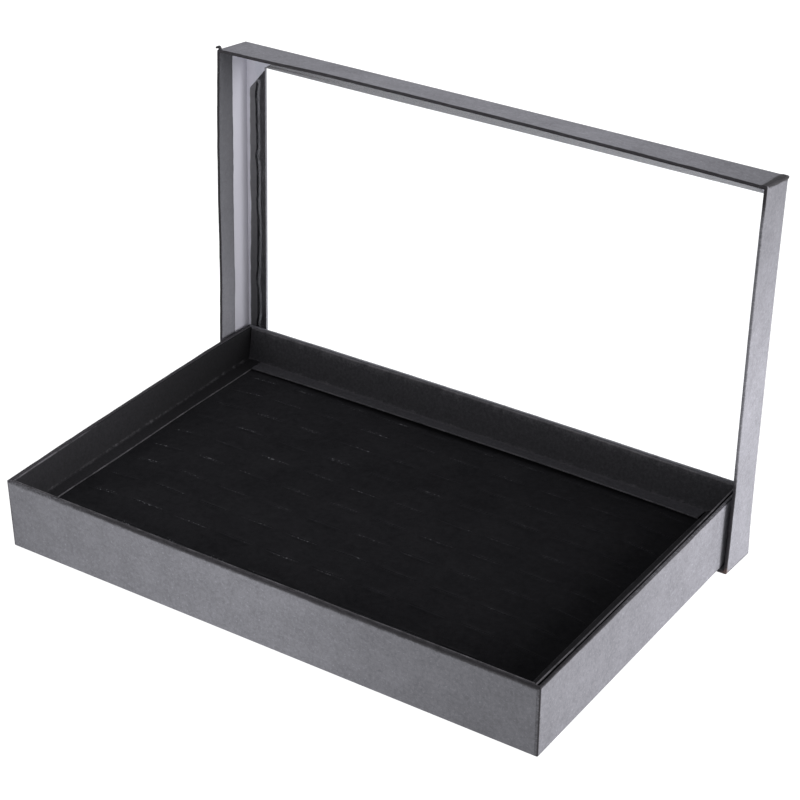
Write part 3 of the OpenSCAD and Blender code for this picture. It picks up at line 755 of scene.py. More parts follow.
# ---------------------------------------------------------------- liner strips: card folded to an L
def build_strip(name, side, u0, u1, n, top, foot, edge, lift, ztop, flange=None, line=lambda u: 1.0, upper=0.0, fade=lambda u: 1.0):
    """top, foot, edge and lift are functions of the place along the strip, in mm."""
    b = Build()
    t = 0.72
    U = side_fractions(n, 0.3) * (u1 - u0) + u0
    if flange:
        U = np.unique(np.concatenate([U, [flange[0] - 0.02, flange[0], flange[1], flange[1] + 0.02]]))

    def at(u, d):
        if side == "left":
            return -TL / 2 + d, u
        if side == "right":
            return TL / 2 - d, u
        return (u, d) if side == "front" else (u, TW - d)
    rings = []
    for u in U:
        o, f, zt = top(u), foot(u), ztop(u)
        on = flange is None or flange[0] - 1e-6 <= u <= flange[1] + 1e-6
        de = edge(u) if on else f + 0.6
        zb = 14.86
        zl = lambda h: f - (f - o) * (h - zb) / (zt - zb)

        def zf(d):
            x, y = at(u, d)
            k = min(max((d - f) / (edge(u) - f), 0), 1)
            return float(crown(np.array([x]), np.array([y]))[0]) + 0.07 + lift(u) * k ** 1.6
        P = []
        for h in (zt - 0.14, zt - 0.5, zt - 1.5, 26, 24, 22, 20, 18, 16.6, zb + 0.8):
            P.append((zl(h) - t, h, 0.35 if h > zt - 0.3 else 0, h > zt - 0.3))
        for a, c in arc(f - t + 0.8, zb + 0.8, 0.8, 180, 270, 4)[1:]:
            P.append((a, c, 0, 0))
        for k in (0.2, 0.4, 0.6, 0.8, 0.93):
            d = f + 0.2 + (de - f - 0.2) * k
            P.append((d, zf(d), 0, 0))
        P.append((de - 0.08, zf(de), 0.2, 0))
        P.append((de, zf(de) + 0.10, 0.50, 0))
        P.append((de, zf(de) + t - 0.12, 0.58, 0))
        P.append((de - 0.12, zf(de) + t, 0.34, 0))
        for k in (0.93, 0.8, 0.6, 0.4, 0.2):
            d = f + 0.5 + (de - f - 0.5) * k
            P.append((d, zf(d) + t, 0.0, 0))
        for a, c in arc(f + 0.4, zf(f) + t + 0.4, 0.4, 270, 180, 3):
            P.append((a, c, 0.26, 0))
        lu = line(u)
        for h in (17.2, 18, 20, 22, 24, 26, zt - 1.5, zt - 0.5):
            P.append((zl(h), h, upper * max(0.0, (h - 24) / 4.5), 0))
        P.append((zl(zt), zt - 0.14, 0.7 * lu, 0))
        P.append((zl(zt) - 0.13, zt, lu, 0))
        P.append((zl(zt) - t + 0.13, zt, lu, 0))
        P = np.array(P, float)
        xy = [at(u, d) for d in P[:, 0]]
        wear = P[:, 2] * (0.75 + 0.25 * noise1(u + 37 * len(side), 71, 3.0) + 0.15 * noise1(u, 72, 0.9))
        # painted light and shade: the flange's top lighter, the wall darker towards the bottom, all scaled along the
        # strip by fade, which darkens the left strip towards the back
        tone = np.where((P[:, 0] > f + 0.35) & (P[:, 1] < 20), 1.35, np.clip(0.84 + 0.26 * (P[:, 1] - 16) / 12, 0.8, 1.1)) * fade(u)
        rings.append(b.add(np.column_stack([xy, P[:, 1]]), worn=np.clip(wear, 0, 1), run=u / 1000.0, tone=tone))
    b.quads(rings, close_v=True)
    b.face(rings[0])
    b.face(rings[-1], flip=True)
    return b.object(name, tray_place, smooth_angle=45)


# ---------------------------------------------------------------- the lid's white linings and its film
def build_wall_lining():
    b = Build()
    loop = Loop(-LL / 2, LL / 2, 0, LH, 120, 80, 2, 2.2)
    ys = (TURN - 0.05, 9.8, 11.2, 12.8, 14.4, 16, 17.7)
    r = [b.add(lid_ring_points(loop, SKIN - PAPER + LINING, y)) for y in ys]
    r += [b.add(lid_ring_points(loop, SKIN - PAPER, y)) for y in ys[::-1]]
    b.quads(r + r[:1], close_v=True)
    V = np.concatenate(b.v)
    dmin = np.minimum(np.minimum(LH - V[:, 2], V[:, 2]), LL / 2 - np.abs(V[:, 0]))
    seen = dmin > SKIN - PAPER + LINING / 2
    s = 0.09 * noise2(V[:, 0] + V[:, 2], V[:, 1], 81, 11) * seen
    right = V[:, 0] > 60
    left = V[:, 0] < -60
    V[:, 0] += np.where(left & (np.abs(V[:, 0]) > 117), np.abs(s), 0) - np.where(right & (np.abs(V[:, 0]) > 117), np.abs(s), 0)
    b.v = [V]
    # painted light and shade: the lining darker towards the bottom and kept lighter deeper in towards the window
    b.a = {"deep": [smooth(V[:, 1], 7.5, 12.5)], "tone": [curve(V[:, 2], (0, 30, 60, 90, 125, 160), (0.62, 0.66, 0.76, 0.77, 0.86, 1.02))]}
    return b.object("lid_wall_lining_paper", lid_place, smooth_angle=40)


def build_face_lining():
    b = Build()
    y0, y1 = 17.765, 17.89
    xo, zo0, zo1 = LL / 2 - SKIN + PAPER, SKIN - PAPER, LH - SKIN + PAPER
    loop_o = Loop(-xo, xo, zo0, zo1, 120, 80, 2, 0.2)
    w = [0.0, 2.0, 4.0, 6.0, 7.6, 8.7]
    rows = [b.add(lid_ring_points(loop_o, d, y0)) for d in w] + [b.add(lid_ring_points(loop_o, d, y1)) for d in w[::-1]]
    b.quads(rows + rows[:1], close_v=True)
    V = np.concatenate(b.v)
    V[:, 0] = win_x(V[:, 0])
    b.v = [V]
    # painted light: the lining round the window is made 1.36 times lighter all over
    b.a = {"deep": [np.full(b.n, 0.2)], "tone": [np.full(b.n, 1.36)]}
    return b.object("lid_face_lining_paper", lid_place, smooth_angle=40)


def build_film():
    b = Build()
    nx, nz = 150, 100
    x0, x1, z0, z1 = -113.7, 117.0, 5.5, 154.5
    ids = []
    tx, tz = side_fractions(nx, 0.5), side_fractions(nz, 0.5)
    tx = np.unique(np.concatenate([tx, np.array([0.35, 0.8, 1.5]) / 231.5, 1 - np.array([0.35, 0.8, 1.5]) / 231.5]))
    tz = np.unique(np.concatenate([tz, np.array([0.35, 0.8, 1.5]) / 149, 1 - np.array([0.35, 0.8, 1.5]) / 149]))
    nx, nz = len(tx) - 1, len(tz) - 1
    for lay, yy in ((0, 17.14), (1, 17.32)):
        G = np.zeros((nx + 1, nz + 1, 3))
        for i, a in enumerate(tx):
            for k, c in enumerate(tz):
                G[i, k] = (x0 + (x1 - x0) * a, yy, z0 + (z1 - z0) * c)
        X, Z = G[:, :, 0], G[:, :, 2]
        X0, Z0 = X.copy(), Z.copy()
        # the film was cut and stuck by hand: its edge wanders and it isn't quite flat
        wl = smooth(-X, 108, 113.7) * (0.50 * noise1(Z, 91, 7) + 0.26 * noise1(Z, 92, 2.4))
        wr = smooth(X, 110.5, 117) * (0.40 * noise1(Z, 93, 9) + 0.16 * noise1(Z, 94, 2.4))
        wt = smooth(Z, 148, 154.5) * (0.40 * noise1(X, 95, 10) + 0.16 * noise1(X, 96, 2.4))
        wb = smooth(-Z, -12, -5.5) * (0.40 * noise1(X, 97, 10) + 0.16 * noise1(X, 98, 2.4))
        G[:, :, 0] += wl + wr
        G[:, :, 2] += wt + wb
        inn = smooth(np.minimum(np.minimum(X + 110, 112.5 - X), np.minimum(Z - 10, 150 - Z)), 0, 12)
        rim = np.minimum(np.minimum(X0 - x0, x1 - X0), np.minimum(Z0 - z0, z1 - Z0))
        # over the bare lining at the corners the cut edge hardly shows
        show = smooth(np.minimum(Z0 - 16.3, 143.7 - Z0), -0.4, 0.2)
        line = np.where(X0 < -108, smooth(X0 - x0, 2.3, 0.7) * show, smooth(rim, 0.9, 0.3) * (Z0 < 148))
        G[:, :, 1] += 0.28 * inn * noise2(X, Z, 99, 55) + 0.33 * inn
        ids.append(b.add(G.reshape(-1, 3), glue=(1 - inn).ravel(), rim=line.ravel()).reshape(nx + 1, nz + 1))
    A, B = ids
    b.quads(A)
    b.quads(B, flip=True)
    for R0, R1 in ((A[:, 0], B[:, 0]), (A[:, -1], B[:, -1]), (A[0], B[0]), (A[-1], B[-1])):
        b.quads([R0, R1])
    return b.object("window_film_sheet", lid_place, smooth_angle=40)


# ---------------------------------------------------------------- corner tapes
def build_tapes(name, corners, place):
    """corners: (origin, first leg direction, second leg direction, length direction, leg, t, length)."""
    b = Build()
    for (o, e1, e2, e3, leg, t, h) in corners:
        o, e1, e2, e3 = [np.array(v, float) for v in (o, e1, e2, e3)]
        prof = [(0, 0), (leg * 0.5, 0), (leg, 0), (leg, t), (leg * 0.5, t), (t, t), (t, leg * 0.5), (t, leg), (0, leg), (0, leg * 0.5)]
        rows = [b.add([o + e1 * p + e2 * q + e3 * (h * k / 6) for p, q in prof]) for k in range(7)]
        b.quads(rows, close_v=True)
        for r, fl in ((rows[0], False), (rows[-1], True)):
            b.face([r[0], r[1], r[4], r[5]], fl)
            b.face([r[1], r[2], r[3], r[4]], fl)
            b.face([r[0], r[5], r[6], r[9]], fl)
            b.face([r[9], r[6], r[7], r[8]], fl)
    return b.object(name, place, smooth_angle=30)


# ================================================================ procedural materials
class Mat:
    def __init__(self, name):
        self.m = bpy.data.materials.new(name)
        self.m.use_nodes = True
        self.t = self.m.node_tree
        self.t.nodes.clear()
        self.out = self.t.nodes.new("ShaderNodeOutputMaterial")
        self._loc = None

    def node(self, kind, props=None, **inputs):
        n = self.t.nodes.new(kind)
        for k, v in (props or {}).items():
            setattr(n, k, v)
        for k, v in inputs.items():
            k = k.replace("_", " ")
            self.put(n.inputs[k], v)
        return n

    def put(self, sock, v):
        if isinstance(v, bpy.types.NodeSocket):
            self.t.links.new(v, sock)
        else:
            sock.default_value = v

    def attr(self, name, vector=False):
        n = self.node("ShaderNodeAttribute", {"attribute_name": name, "attribute_type": "GEOMETRY"})
        return n.outputs["Vector" if vector else "Fac"]

    def loc(self):
        if self._loc is None:
            self._loc = self.attr("loc", True)
        return self._loc

    def math(self, op, a, b=0.0, clamp=False):
        n = self.node("ShaderNodeMath", {"operation": op, "use_clamp": clamp})
        self.put(n.inputs[0], a)
        self.put(n.inputs[1], b)
        return n.outputs[0]

    def scaled(self, sx, sy, sz):
        n = self.node("ShaderNodeVectorMath", {"operation": "MULTIPLY"})
        self.put(n.inputs[0], self.loc())
        n.inputs[1].default_value = (sx, sy, sz)
        return n.outputs[0]

    def noise(self, scale, detail=2.0, rough=0.5, vec=None, dist=0.0):
        n = self.node("ShaderNodeTexNoise", None, Scale=scale, Detail=detail, Roughness=rough, Distortion=dist)
        self.t.links.new(vec if vec is not None else self.loc(), n.inputs["Vector"])
        return n.outputs["Fac"]

    def map(self, v, a, b, c=0.0, d=1.0, smooth_step=False):
        n = self.node("ShaderNodeMapRange", {"clamp": True, "interpolation_type": "SMOOTHSTEP" if smooth_step else "LINEAR"})
        self.put(n.inputs["Value"], v)
        for k, x in (("From Min", a), ("From Max", b), ("To Min", c), ("To Max", d)):
            n.inputs[k].default_value = x
        return n.outputs["Result"]

    def mix(self, f, a, b):
        n = self.node("ShaderNodeMix", {"data_type": "RGBA"})
        self.put(n.inputs[0], f)
        for s, v in ((n.inputs[6], a), (n.inputs[7], b)):
            if isinstance(v, tuple) and len(v) == 3:
                v = (*v, 1.0)
            self.put(s, v)
        return n.outputs[2]

    def gain(self, color, k):
        n = self.node("ShaderNodeVectorMath", {"operation": "SCALE"})
        self.put(n.inputs[0], color)
        self.put(n.inputs["Scale"], k)
        return n.outputs[0]

    def bump(self, height, strength, distance, normal=None):
        n = self.node("ShaderNodeBump", None, Strength=strength, Distance=distance, Height=height)
        if normal is not None:
            self.t.links.new(normal, n.inputs["Normal"])
        return n.outputs["Normal"]

    def shade(self, color, rough, normal=None, spec=0.3, sheen=None, **more):
        n = self.node("ShaderNodeBsdfPrincipled")
        self.put(n.inputs["Base Color"], color)
        self.put(n.inputs["Roughness"], rough)
        n.inputs["Specular IOR Level"].default_value = spec
        if sheen:
            n.inputs["Sheen Weight"].default_value = sheen[0]
            n.inputs["Sheen Roughness"].default_value = sheen[1]
            n.inputs["Sheen Tint"].default_value = (*sheen[2], 1.0)
        if normal is not None:
            self.t.links.new(normal, n.inputs["Normal"])
        for k, v in more.items():
            self.put(n.inputs[k.replace("_", " ")], v)
        self.t.links.new(n.outputs[0], self.out.inputs[0])
        return self.m


def mat_paper(name, base=(0.176, 0.176, 0.193), rim=(0.022, 0.0205, 0.0235), inner=(0.150, 0.150, 0.164)):
    """Grey fibrous covering paper, dark where it is folded: partly rubbing wear, partly painted shade; turned-in paper
    is a darker shaded copy, and the colour is scaled by a painted light and shade gain.
    """
    m = Mat(name)
    mott = m.noise(640, 4, 0.66, dist=0.6)
    fine = m.noise(3400, 2, 0.6)
    cloud = m.noise(27, 3, 0.55)
    patch = m.noise(110, 2, 0.5)
    fib = m.noise(820, 2, 0.5, m.scaled(0.20, 1.25, 1.25), 0.8)
    v = m.math("ADD", m.math("MULTIPLY", mott, 0.68), m.math("MULTIPLY", fine, 0.34))
    v = m.math("ADD", v, m.math("MULTIPLY", fib, 0.10))
    v = m.math("ADD", v, m.math("MULTIPLY", cloud, 0.24))
    v = m.math("ADD", v, m.math("MULTIPLY", patch, 0.20))
    k = m.map(v, 0.57, 0.99)
    col = m.mix(k, tuple(c * 0.74 for c in base), tuple(c * 1.26 for c in base))
    col = m.mix(m.math("MULTIPLY", m.map(m.noise(1150, 3, 0.6), 0.58, 0.72), 0.45), col, tuple(c * 2.1 for c in base))
    # painted shade: paper turned in on the inside takes a darker copy of the colour, darker still where it lies deeper
    turned = m.mix(k, tuple(c * 0.84 for c in inner), tuple(c * 1.16 for c in inner))
    turned = m.mix(m.math("MULTIPLY", m.attr("deep"), 0.22, clamp=True), turned, tuple(c * 0.42 for c in inner))
    flapc = m.mix(k, (0.150, 0.149, 0.158), (0.190, 0.188, 0.198))
    flapc = m.mix(m.attr("wet"), flapc, m.mix(k, (0.036, 0.034, 0.038), (0.054, 0.051, 0.057)))
    flapc = m.mix(m.attr("deep"), flapc, (0.34, 0.34, 0.34))
    turned = m.mix(m.attr("flap"), turned, flapc)
    col = m.mix(m.attr("inside"), col, turned)
    # the darkened fold, wear and painted shade, breaks up into streaks at its border
    xyz = m.node("ShaderNodeSeparateXYZ")
    m.t.links.new(m.loc(), xyz.inputs[0])
    lay = m.node("ShaderNodeCombineXYZ")
    m.put(lay.inputs[0], m.attr("run"))
    m.put(lay.inputs[1], m.math("MULTIPLY", m.math("ADD", xyz.outputs[2], m.math("MULTIPLY", xyz.outputs[1], 0.4)), 5.0))
    streak = m.noise(330, 4, 0.62, lay.outputs[0], 0.3)
    e = m.math("ADD", m.attr("edge"), m.math("MULTIPLY", m.math("SUBTRACT", m.math("ADD", m.math("MULTIPLY", streak, 0.6), m.math("MULTIPLY", m.noise(1300, 3, 0.6), 0.4)), 0.5), 1.4))
    e = m.math("MULTIPLY", m.map(e, 0.16, 0.92, smooth_step=True), m.map(m.attr("edge"), 0.0, 0.15))
    rimc = m.mix(m.map(streak, 0.35, 0.65), tuple(c * 0.62 for c in rim), tuple(c * 1.55 for c in rim))
    col = m.mix(e, col, rimc)
    # small tear: the board shows
    col = m.mix(m.math("MULTIPLY", m.attr("scuff"), m.map(m.noise(900, 3, 0.6), 0.38, 0.6)), col, (0.10, 0.060, 0.050))
    # painted light and shade: gain set per place on the paper
    col = m.gain(col, m.attr("tone"))
    h = m.math("ADD", m.math("MULTIPLY", mott, 0.7), m.math("MULTIPLY", fine, 0.3))
    nrm = m.bump(h, 0.5, 0.00013)
    rough = m.map(e, 0, 1, 0.72, 0.52)
    return m.shade(col, rough, nrm, spec=0.15)


def mat_board():
    m = Mat("grey_board_pulp")
    s = m.noise(1500, 3, 0.65)
    f = m.noise(260, 2, 0.5, m.scaled(0.3, 1, 1))
    k = m.map(m.math("ADD", m.math("MULTIPLY", s, 0.6), m.math("MULTIPLY", f, 0.4)), 0.3, 0.7)
    col = m.mix(k, (0.24, 0.22, 0.19), (0.38, 0.355, 0.31))
    return m.shade(col, 0.9, m.bump(s, 0.4, 0.00015), spec=0.15)


def mat_tape():
    m = Mat("gummed_tape")
    s = m.noise(700, 3, 0.6)
    col = m.mix(m.map(s, 0.3, 0.7), (0.42, 0.35, 0.24), (0.56, 0.48, 0.34))
    return m.shade(col, m.map(s, 0.3, 0.7, 0.45, 0.65), m.bump(s, 0.2, 0.0001), spec=0.3)


def mat_liner(name, tone):
    """Black card for the strips round the insert, lighter along its cut edges; its colour is scaled by a painted light
    and shade gain.
    """
    m = Mat(name)
    s = m.noise(900, 3, 0.6)
    f = m.noise(2600, 2, 0.6)
    k = m.map(m.math("ADD", m.math("MULTIPLY", s, 0.6), m.math("MULTIPLY", f, 0.4)), 0.32, 0.68)
    col = m.mix(k, tuple(c * tone for c in (0.0085, 0.0085, 0.0095)), tuple(c * tone for c in (0.0165, 0.0160, 0.0180)))
    w = m.math("ADD", m.attr("worn"), m.math("MULTIPLY", m.math("SUBTRACT", m.noise(650, 3, 0.6), 0.5), 0.5))
    w = m.math("MULTIPLY", m.map(w, 0.15, 0.85), m.map(m.attr("worn"), 0.0, 0.1))
    col = m.mix(w, m.gain(col, m.attr("tone")), m.mix(k, (0.085, 0.082, 0.088), (0.13, 0.125, 0.135)))
    return m.shade(col, 0.78, m.bump(s, 0.25, 0.0001), spec=0.12)


def mat_velvet():
    """Flocked face: near black, short fibres, a soft rim of sheen, lint here and there."""
    m = Mat("flocked_velvet")
    a = m.noise(2600, 3, 0.7)
    c = m.noise(420, 2, 0.6)
    d = m.noise(55, 2, 0.5)
    v = m.math("ADD", m.math("MULTIPLY", a, 0.45), m.math("MULTIPLY", c, 0.30))
    v = m.math("ADD", v, m.math("MULTIPLY", d, 0.25))
    k = m.map(v, 0.36, 0.64)
    col = m.mix(k, (0.0045, 0.0045, 0.0052), (0.0105, 0.0104, 0.0115))
    # lighter where the slit's lips turn up
    lip = m.map(m.attr("lip"), 0.25, 1.0)
    col = m.mix(m.math("MULTIPLY", lip, 0.22), col, (0.022, 0.022, 0.025))
    xyz = m.node("ShaderNodeSeparateXYZ")
    m.t.links.new(m.loc(), xyz.inputs[0])
    # pale grit along the lips, made stronger towards the left as painted light
    grit = m.math("MULTIPLY", m.map(m.noise(1150, 2, 0.7), 0.56, 0.65), m.map(m.noise(55, 2, 0.5), 0.42, 0.55))
    grit = m.math("MULTIPLY", grit, m.map(xyz.outputs[0], -0.05, 0.06, 1.0, 0.22))
    lip = m.map(m.attr("lip"), 0.55, 1.05)
    col = m.mix(m.math("MULTIPLY", grit, lip), col, (0.13, 0.13, 0.14))
    # lint: a few small pale specks
    n = m.node("ShaderNodeTexVoronoi", {"voronoi_dimensions": "3D", "feature": "F1"}, Scale=95.0)
    m.t.links.new(m.loc(), n.inputs["Vector"])
    sep = m.node("ShaderNodeSeparateColor")
    m.t.links.new(n.outputs["Color"], sep.inputs[0])
    here = m.math("GREATER_THAN", sep.outputs[0], 0.90)
    size = m.map(sep.outputs[1], 0, 1, 0.012, 0.030)
    speck = m.math("LESS_THAN", n.outputs["Distance"], size)
    col = m.mix(m.math("MULTIPLY", here, speck), col, (0.42, 0.42, 0.44))
    # painted light: the whole flocked face made lighter towards the left
    col = m.gain(col, m.map(xyz.outputs[0], -0.11, 0.11, 1.45, 0.85))
    nrm = m.bump(a, 0.5, 0.0002)
    return m.shade(col, 0.95, nrm, spec=0.03, sheen=(0.012, 0.45, (0.8, 0.8, 0.9)))


def mat_foam():
    m = Mat("foam_black")
    n = m.node("ShaderNodeTexVoronoi", {"voronoi_dimensions": "3D", "feature": "F1"}, Scale=2600.0)
    m.t.links.new(m.loc(), n.inputs["Vector"])
    d = m.map(n.outputs["Distance"], 0.1, 0.8)
    col = m.mix(d, (0.006, 0.006, 0.0065), (0.022, 0.022, 0.024))
    return m.shade(col, 0.95, m.bump(d, 0.6, 0.0003), spec=0.08)


def mat_lining():
    m = Mat("white_lining_paper")
    s = m.noise(1400, 3, 0.6)
    c = m.noise(60, 2, 0.5)
    f = m.noise(300, 2, 0.6, m.scaled(0.3, 1.2, 1.0))
    k = m.map(m.math("ADD", m.math("ADD", m.math("MULTIPLY", s, 0.35), m.math("MULTIPLY", c, 0.45)), m.math("MULTIPLY", f, 0.2)), 0.32, 0.68)
    col = m.mix(k, (0.475, 0.470, 0.520), (0.555, 0.549, 0.600))
    # painted light: deeper in towards the window the lining is mixed towards a lighter colour; its colour is then
    # scaled by the painted light and shade gain
    painted_depth_light = m.math("MULTIPLY", m.attr("deep"), m.map(c, 0.3, 0.7, 0.75, 1.0))
    col = m.mix(painted_depth_light, col, (0.555, 0.550, 0.610))
    return m.shade(m.gain(col, m.attr("tone")), 0.6, m.bump(s, 0.2, 0.0001), spec=0.3)


def mat_film():
    """Clear film: seen by its gloss, a little hazy."""
    m = Mat("clear_film")
    lw = m.node("ShaderNodeLayerWeight", None, Blend=0.5)
    refl = m.math("ADD", m.math("MULTIPLY", m.math("POWER", lw.outputs["Facing"], 5.0), 0.55), 0.022)
    tr = m.node("ShaderNodeBsdfTransparent")
    tr.inputs["Color"].default_value = (0.985, 0.990, 0.992, 1)
    gl = m.node("ShaderNodeBsdfGlossy")
    gl.inputs["Color"].default_value = (1, 1, 1, 1)
    wob = m.noise(45, 2, 0.5)
    m.t.links.new(m.bump(wob, 0.10, 0.002), gl.inputs["Normal"])
    m.put(gl.inputs["Roughness"], m.map(m.noise(160, 2, 0.6), 0.3, 0.7, 0.12, 0.20))
    mixa = m.node("ShaderNodeMixShader")
    m.t.links.new(refl, mixa.inputs[0])
    m.t.links.new(tr.outputs[0], mixa.inputs[1])
    m.t.links.new(gl.outputs[0], mixa.inputs[2])
    # its cut edge is a dark line
    hz = m.node("ShaderNodeBsdfDiffuse")
    m.put(hz.inputs["Color"], m.mix(m.attr("rim"), (0.80, 0.81, 0.86), (0.010, 0.010, 0.012)))
    g = m.math("MULTIPLY", m.attr("rim"), m.map(m.noise(260, 3, 0.6), 0.35, 0.6, 0.18, 0.72))
    f = m.math("ADD", g, m.map(m.noise(500, 3, 0.6), 0.3, 0.7, 0.003, 0.005), clamp=True)
    mixb = m.node("ShaderNodeMixShader")
    m.t.links.new(f, mixb.inputs[0])
    m.t.links.new(mixa.outputs[0], mixb.inputs[1])
    m.t.links.new(hz.outputs[0], mixb.inputs[2])
    m.t.links.new(mixb.outputs[0], m.out.inputs[0])
    return m.m


def mat_floor():
    m = Mat("studio_floor")
    m._loc = m.node("ShaderNodeTexCoord").outputs["Object"]
    k = m.noise(3, 2, 0.5)
    d = m.node("ShaderNodeBsdfDiffuse")
    m.put(d.inputs["Color"], m.mix(k, (0.24, 0.24, 0.24), (0.28, 0.28, 0.28)))
    e = m.node("ShaderNodeEmission")
    m.put(e.inputs["Color"], m.mix(k, (0.99, 0.99, 1.0), (1.0, 1.0, 1.0)))
    e.inputs["Strength"].default_value = 0.965
    a = m.node("ShaderNodeAddShader")
    m.t.links.new(d.outputs[0], a.inputs[0])
    m.t.links.new(e.outputs[0], a.inputs[1])
    m.t.links.new(a.outputs[0], m.out.inputs[0])
    return m.m


# ================================================================ put it together
paper_tray = mat_paper("wrap_paper_tray")
paper_lid = mat_paper("wrap_paper_lid")
board, tape, liner, velvet = mat_board(), mat_tape(), mat_liner("liner_black_card", 1.0), mat_velvet()
# painted light: the back strip's card is a copy of the black card made 2.4 times lighter
liner_back = mat_liner("liner_card_painted_lighter", 2.4)
foam_m, lining_m, film_m = mat_foam(), mat_lining(), mat_film()


def install(ob, node, body, material):
    ob.data.materials.clear()
    ob.data.materials.append(material)
    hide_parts(node)
    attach(ob, body)
    return ob


install(build_tray_wrap(), "tray_wrap", "tray", paper_tray)
install(build_lid_wrap(), "lid_wrap", "lid", paper_lid)

TX, TY0, TY1, TZ0, TZ1 = TL / 2 - PAPER, PAPER, TW - PAPER, PAPER + BOARD, TH - PAPER
for node, lo, hi, n in (
        ("tray_floor_board", (-TX, TY0, PAPER), (TX, TY1, TZ0), (24, 16, 1)),
        ("tray_front_board", (-TX + 0.06, TY0 + 0.04, TZ0), (TX - 0.06, TY0 + BOARD - 0.02, TZ1 - 0.35), (48, 1, 8)),
        ("tray_back_board", (-TX + 0.06, TY1 - BOARD + 0.02, TZ0), (TX - 0.06, TY1 - 0.04, TZ1 - 0.35), (48, 1, 8)),
        ("tray_left_board", (-TX + 0.04, TY0 + BOARD, TZ0), (-TX + BOARD - 0.02, TY1 - BOARD, TZ1 - 0.35), (1, 32, 8)),
        ("tray_right_board", (TX - BOARD + 0.02, TY0 + BOARD, TZ0), (TX - 0.04, TY1 - BOARD, TZ1 - 0.35), (1, 32, 8))):
    install(build_board(node + "_pulp", lo, hi, n, tray_place), node, "tray", board)

LX, LY0, LY1, LZ0, LZ1 = LL / 2 - PAPER, PAPER, LD - PAPER - BOARD, PAPER, LH - PAPER
for node, lo, hi, n, hole in (
        ("lid_window_board", (-LX + 0.1, LY1, LZ0 + 0.1), (LX - 0.1, LY1 + BOARD - 0.03, LZ1 - 0.1), (48, 1, 32), (-109.62, 112.7, 9.8, 150.2)),
        ("lid_top_board", (-LX + 0.15, LY0 + 0.35, LZ1 - BOARD + 0.02), (LX - 0.15, LY1, LZ1 - 0.13), (48, 8, 1), None),
        ("lid_bottom_board", (-LX + 0.15, LY0 + 0.35, LZ0 + 0.13), (LX - 0.15, LY1, LZ0 + BOARD - 0.02), (48, 8, 1), None),
        ("lid_left_board", (-LX + 0.13, LY0 + 0.35, LZ0 + BOARD), (-LX + BOARD - 0.02, LY1, LZ1 - BOARD), (1, 8, 32), None),
        ("lid_right_board", (LX - BOARD + 0.02, LY0 + 0.35, LZ0 + BOARD), (LX - 0.13, LY1, LZ1 - BOARD), (1, 8, 32), None)):
    install(build_board(node + "_pulp", lo, hi, n, lid_place, hole), node, "lid", board)

ST_H = TH - 12 - TZ0 - 0.3
install(build_tapes("tray_corner_tapes", [
    ((sx * (TX - BOARD), TW / 2 + sy * (TW / 2 - PAPER - BOARD), TZ0 + 0.01), (-sx, 0, 0), (0, -sy, 0), (0, 0, 1), 10.0, 0.12, ST_H)
    for sx in (-1, 1) for sy in (-1, 1)], tray_place), "tray_corner_stays", "tray", tape)
install(build_tapes("lid_corner_tapes", [
    ((sx * LX, 0.9, LH / 2 + sz * (LH / 2 - PAPER)), (-sx, 0, 0), (0, 0, -sz), (0, 1, 0), 10.0, 0.12, LY1 - 1.1)
    for sx in (-1, 1) for sz in (-1, 1)], lid_place), "lid_corner_stays", "lid", tape)

install(build_board("insert_card_pulp", (-IX, IY0, TZ0), (IX, IY1, TZ0 + 1.2), (12, 8, 1), tray_place), "insert_card", "tray", board)
foam_ob = install(build_insert("insert_foam_pad", True), "insert_foam", "tray", foam_m)
velvet_ob = install(build_insert("insert_velvet_face", False), "insert_velvet", "tray", velvet)

uy = lambda y: max(0.0, 1 - ((y - TW / 2) / (TW / 2)) ** 2)
ux = lambda x: max(0.0, 1 - (x / (TL / 2)) ** 2)
n1 = lambda u, s, p: float(noise1(np.array([u]), s, p)[0])
install(build_strip("liner_left_card", "left", SKIN + 0.05, TW - SKIN - 0.05, 90,
                    top=lambda u: 2.12 + 0.05 * n1(u, 101, 30), foot=lambda u: 2.7,
                    edge=lambda u: 9.35 + 0.25 * n1(u, 102, 40), lift=lambda u: 0.25 + 0.2 * n1(u, 103, 35),
                    ztop=lambda u: 28.62 + 0.10 * n1(u, 104, 20), flange=(3.0, TW - 5.5),
                    line=lambda u: 1.0 - 0.88 * float(smooth(u, 22, 62)),
                    fade=lambda u: float(curve(u, (0, 60, 110, 155), (1.05, 1.05, 0.66, 0.5)))),
        "liner_left_strip", "tray", liner)
install(build_strip("liner_right_card", "right", SKIN + 0.05, TW - SKIN - 0.05, 90,
                    top=lambda u: 3.1 - 0.45 * uy(u) + 0.06 * n1(u, 105, 30), foot=lambda u: 3.25,
                    edge=lambda u: 12.4 + 0.25 * n1(u, 106, 40), lift=lambda u: 0.35 + 0.2 * n1(u, 107, 35),
                    ztop=lambda u: 28.55 + 0.10 * n1(u, 108, 20), flange=(3.0, TW - 5.5)),
        "liner_right_strip", "tray", liner)
install(build_strip("liner_front_card", "front", -TL / 2 + 2.75, TL / 2 - 3.3, 120,
                    top=lambda u: 2.25 + 0.06 * n1(u, 109, 60), foot=lambda u: 2.7,
                    edge=lambda u: 12.2 + 0.3 * n1(u, 110, 50), lift=lambda u: 0.4 + 0.2 * n1(u, 111, 50),
                    ztop=lambda u: 28.66 + 0.10 * n1(u, 112, 24), flange=(-TL / 2 + 9.8, TL / 2 - 12.9), line=lambda u: 0.8),
        "liner_front_strip", "tray", liner)
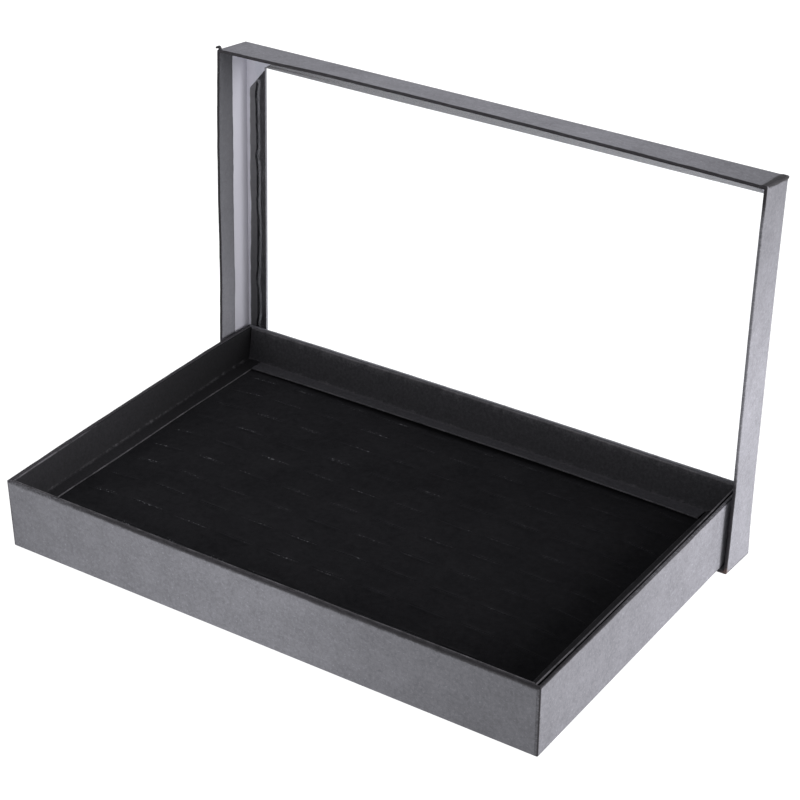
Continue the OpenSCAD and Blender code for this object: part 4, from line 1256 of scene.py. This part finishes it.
install(build_strip("liner_back_card", "back", -TL / 2 + 2.75, TL / 2 - 3.3, 120,
                    top=lambda u: 2.3 + 0.12 * n1(u, 113, 60), foot=lambda u: 5.3,
                    edge=lambda u: 12.7 + 0.6 * ux(u) + 0.3 * n1(u, 114, 50), lift=lambda u: 0.3 + 1.3 * ux(u),
                    ztop=lambda u: 28.6 + 0.12 * n1(u, 115, 24), flange=(-TL / 2 + 9.8, TL / 2 - 12.9), upper=0.45),
        "liner_back_strip", "tray", liner_back)

install(build_wall_lining(), "lid_wall_lining", "lid", lining_m)
install(build_face_lining(), "lid_face_lining", "lid", lining_m)
install(build_film(), "window_film", "lid", film_m)

# ---------------------------------------------------------------- studio
scene = bpy.context.scene
scene.view_settings.view_transform = "Standard"
scene.view_settings.look = "None"
scene.view_settings.exposure = 0.0
scene.view_settings.gamma = 1.0

fm = bpy.data.meshes.new("floor")
fm.from_pydata([(-4, -4, -0.0003), (4, -4, -0.0003), (4, 4, -0.0003), (-4, 4, -0.0003)], [], [(0, 1, 2, 3)])
floor = bpy.data.objects.new("floor", fm)
scene.collection.objects.link(floor)
fm.materials.append(mat_floor())

world = bpy.data.worlds.new("studio")
scene.world = world
world.use_nodes = True
world.node_tree.nodes["Background"].inputs["Color"].default_value = (0.98, 0.98, 1.0, 1)
world.node_tree.nodes["Background"].inputs["Strength"].default_value = 0.66


def area(name, loc, target, size, power, color=(1, 1, 1)):
    d = bpy.data.lights.new(name, "AREA")
    d.shape, d.size, d.energy, d.color = "SQUARE", size, power, color
    o = bpy.data.objects.new(name, d)
    v = np.array(target, float) - np.array(loc, float)
    v /= np.linalg.norm(v)
    import mathutils
    o.location = loc
    o.rotation_euler = mathutils.Vector(v).to_track_quat("-Z", "Y").to_euler()
    scene.collection.objects.link(o)
    return o


area("key_right", (1.45, 0.32, 0.42), (0, 0, 0.05), 0.9, 34.0, (1.0, 0.985, 1.0))
area("fill_left", (-1.1, -1.15, 0.75), (0, 0, 0.05), 0.9, 4.0, (1.0, 1.0, 0.98))

# ---------------------------------------------------------------- camera, at the photograph's angle
AZ, EL, ROLL, DIST = math.radians(32.7629), math.radians(28.7726), math.radians(1.11062), 0.9841979
TARGET = np.array([-0.058393, 0.1049985, 0.0])
back = np.array([math.sin(AZ) * math.cos(EL), -math.cos(AZ) * math.cos(EL), math.sin(EL)])
fwd = -back
right = np.cross(fwd, [0, 0, 1.0])
right /= np.linalg.norm(right)
up = np.cross(right, fwd)
r2 = math.cos(ROLL) * right + math.sin(ROLL) * up
u2 = -math.sin(ROLL) * right + math.cos(ROLL) * up
pos = TARGET + back * DIST
cd = bpy.data.cameras.new("camera")
cd.sensor_width, cd.lens = 36.0, 2265.880 / 800 * 36
cd.clip_start, cd.clip_end = 0.01, 50
cam = bpy.data.objects.new("camera", cd)
import mathutils
cam.matrix_world = mathutils.Matrix(((r2[0], u2[0], back[0], pos[0]), (r2[1], u2[1], back[1], pos[1]),
                                     (r2[2], u2[2], back[2], pos[2]), (0, 0, 0, 1)))
scene.collection.objects.link(cam)
scene.camera = cam
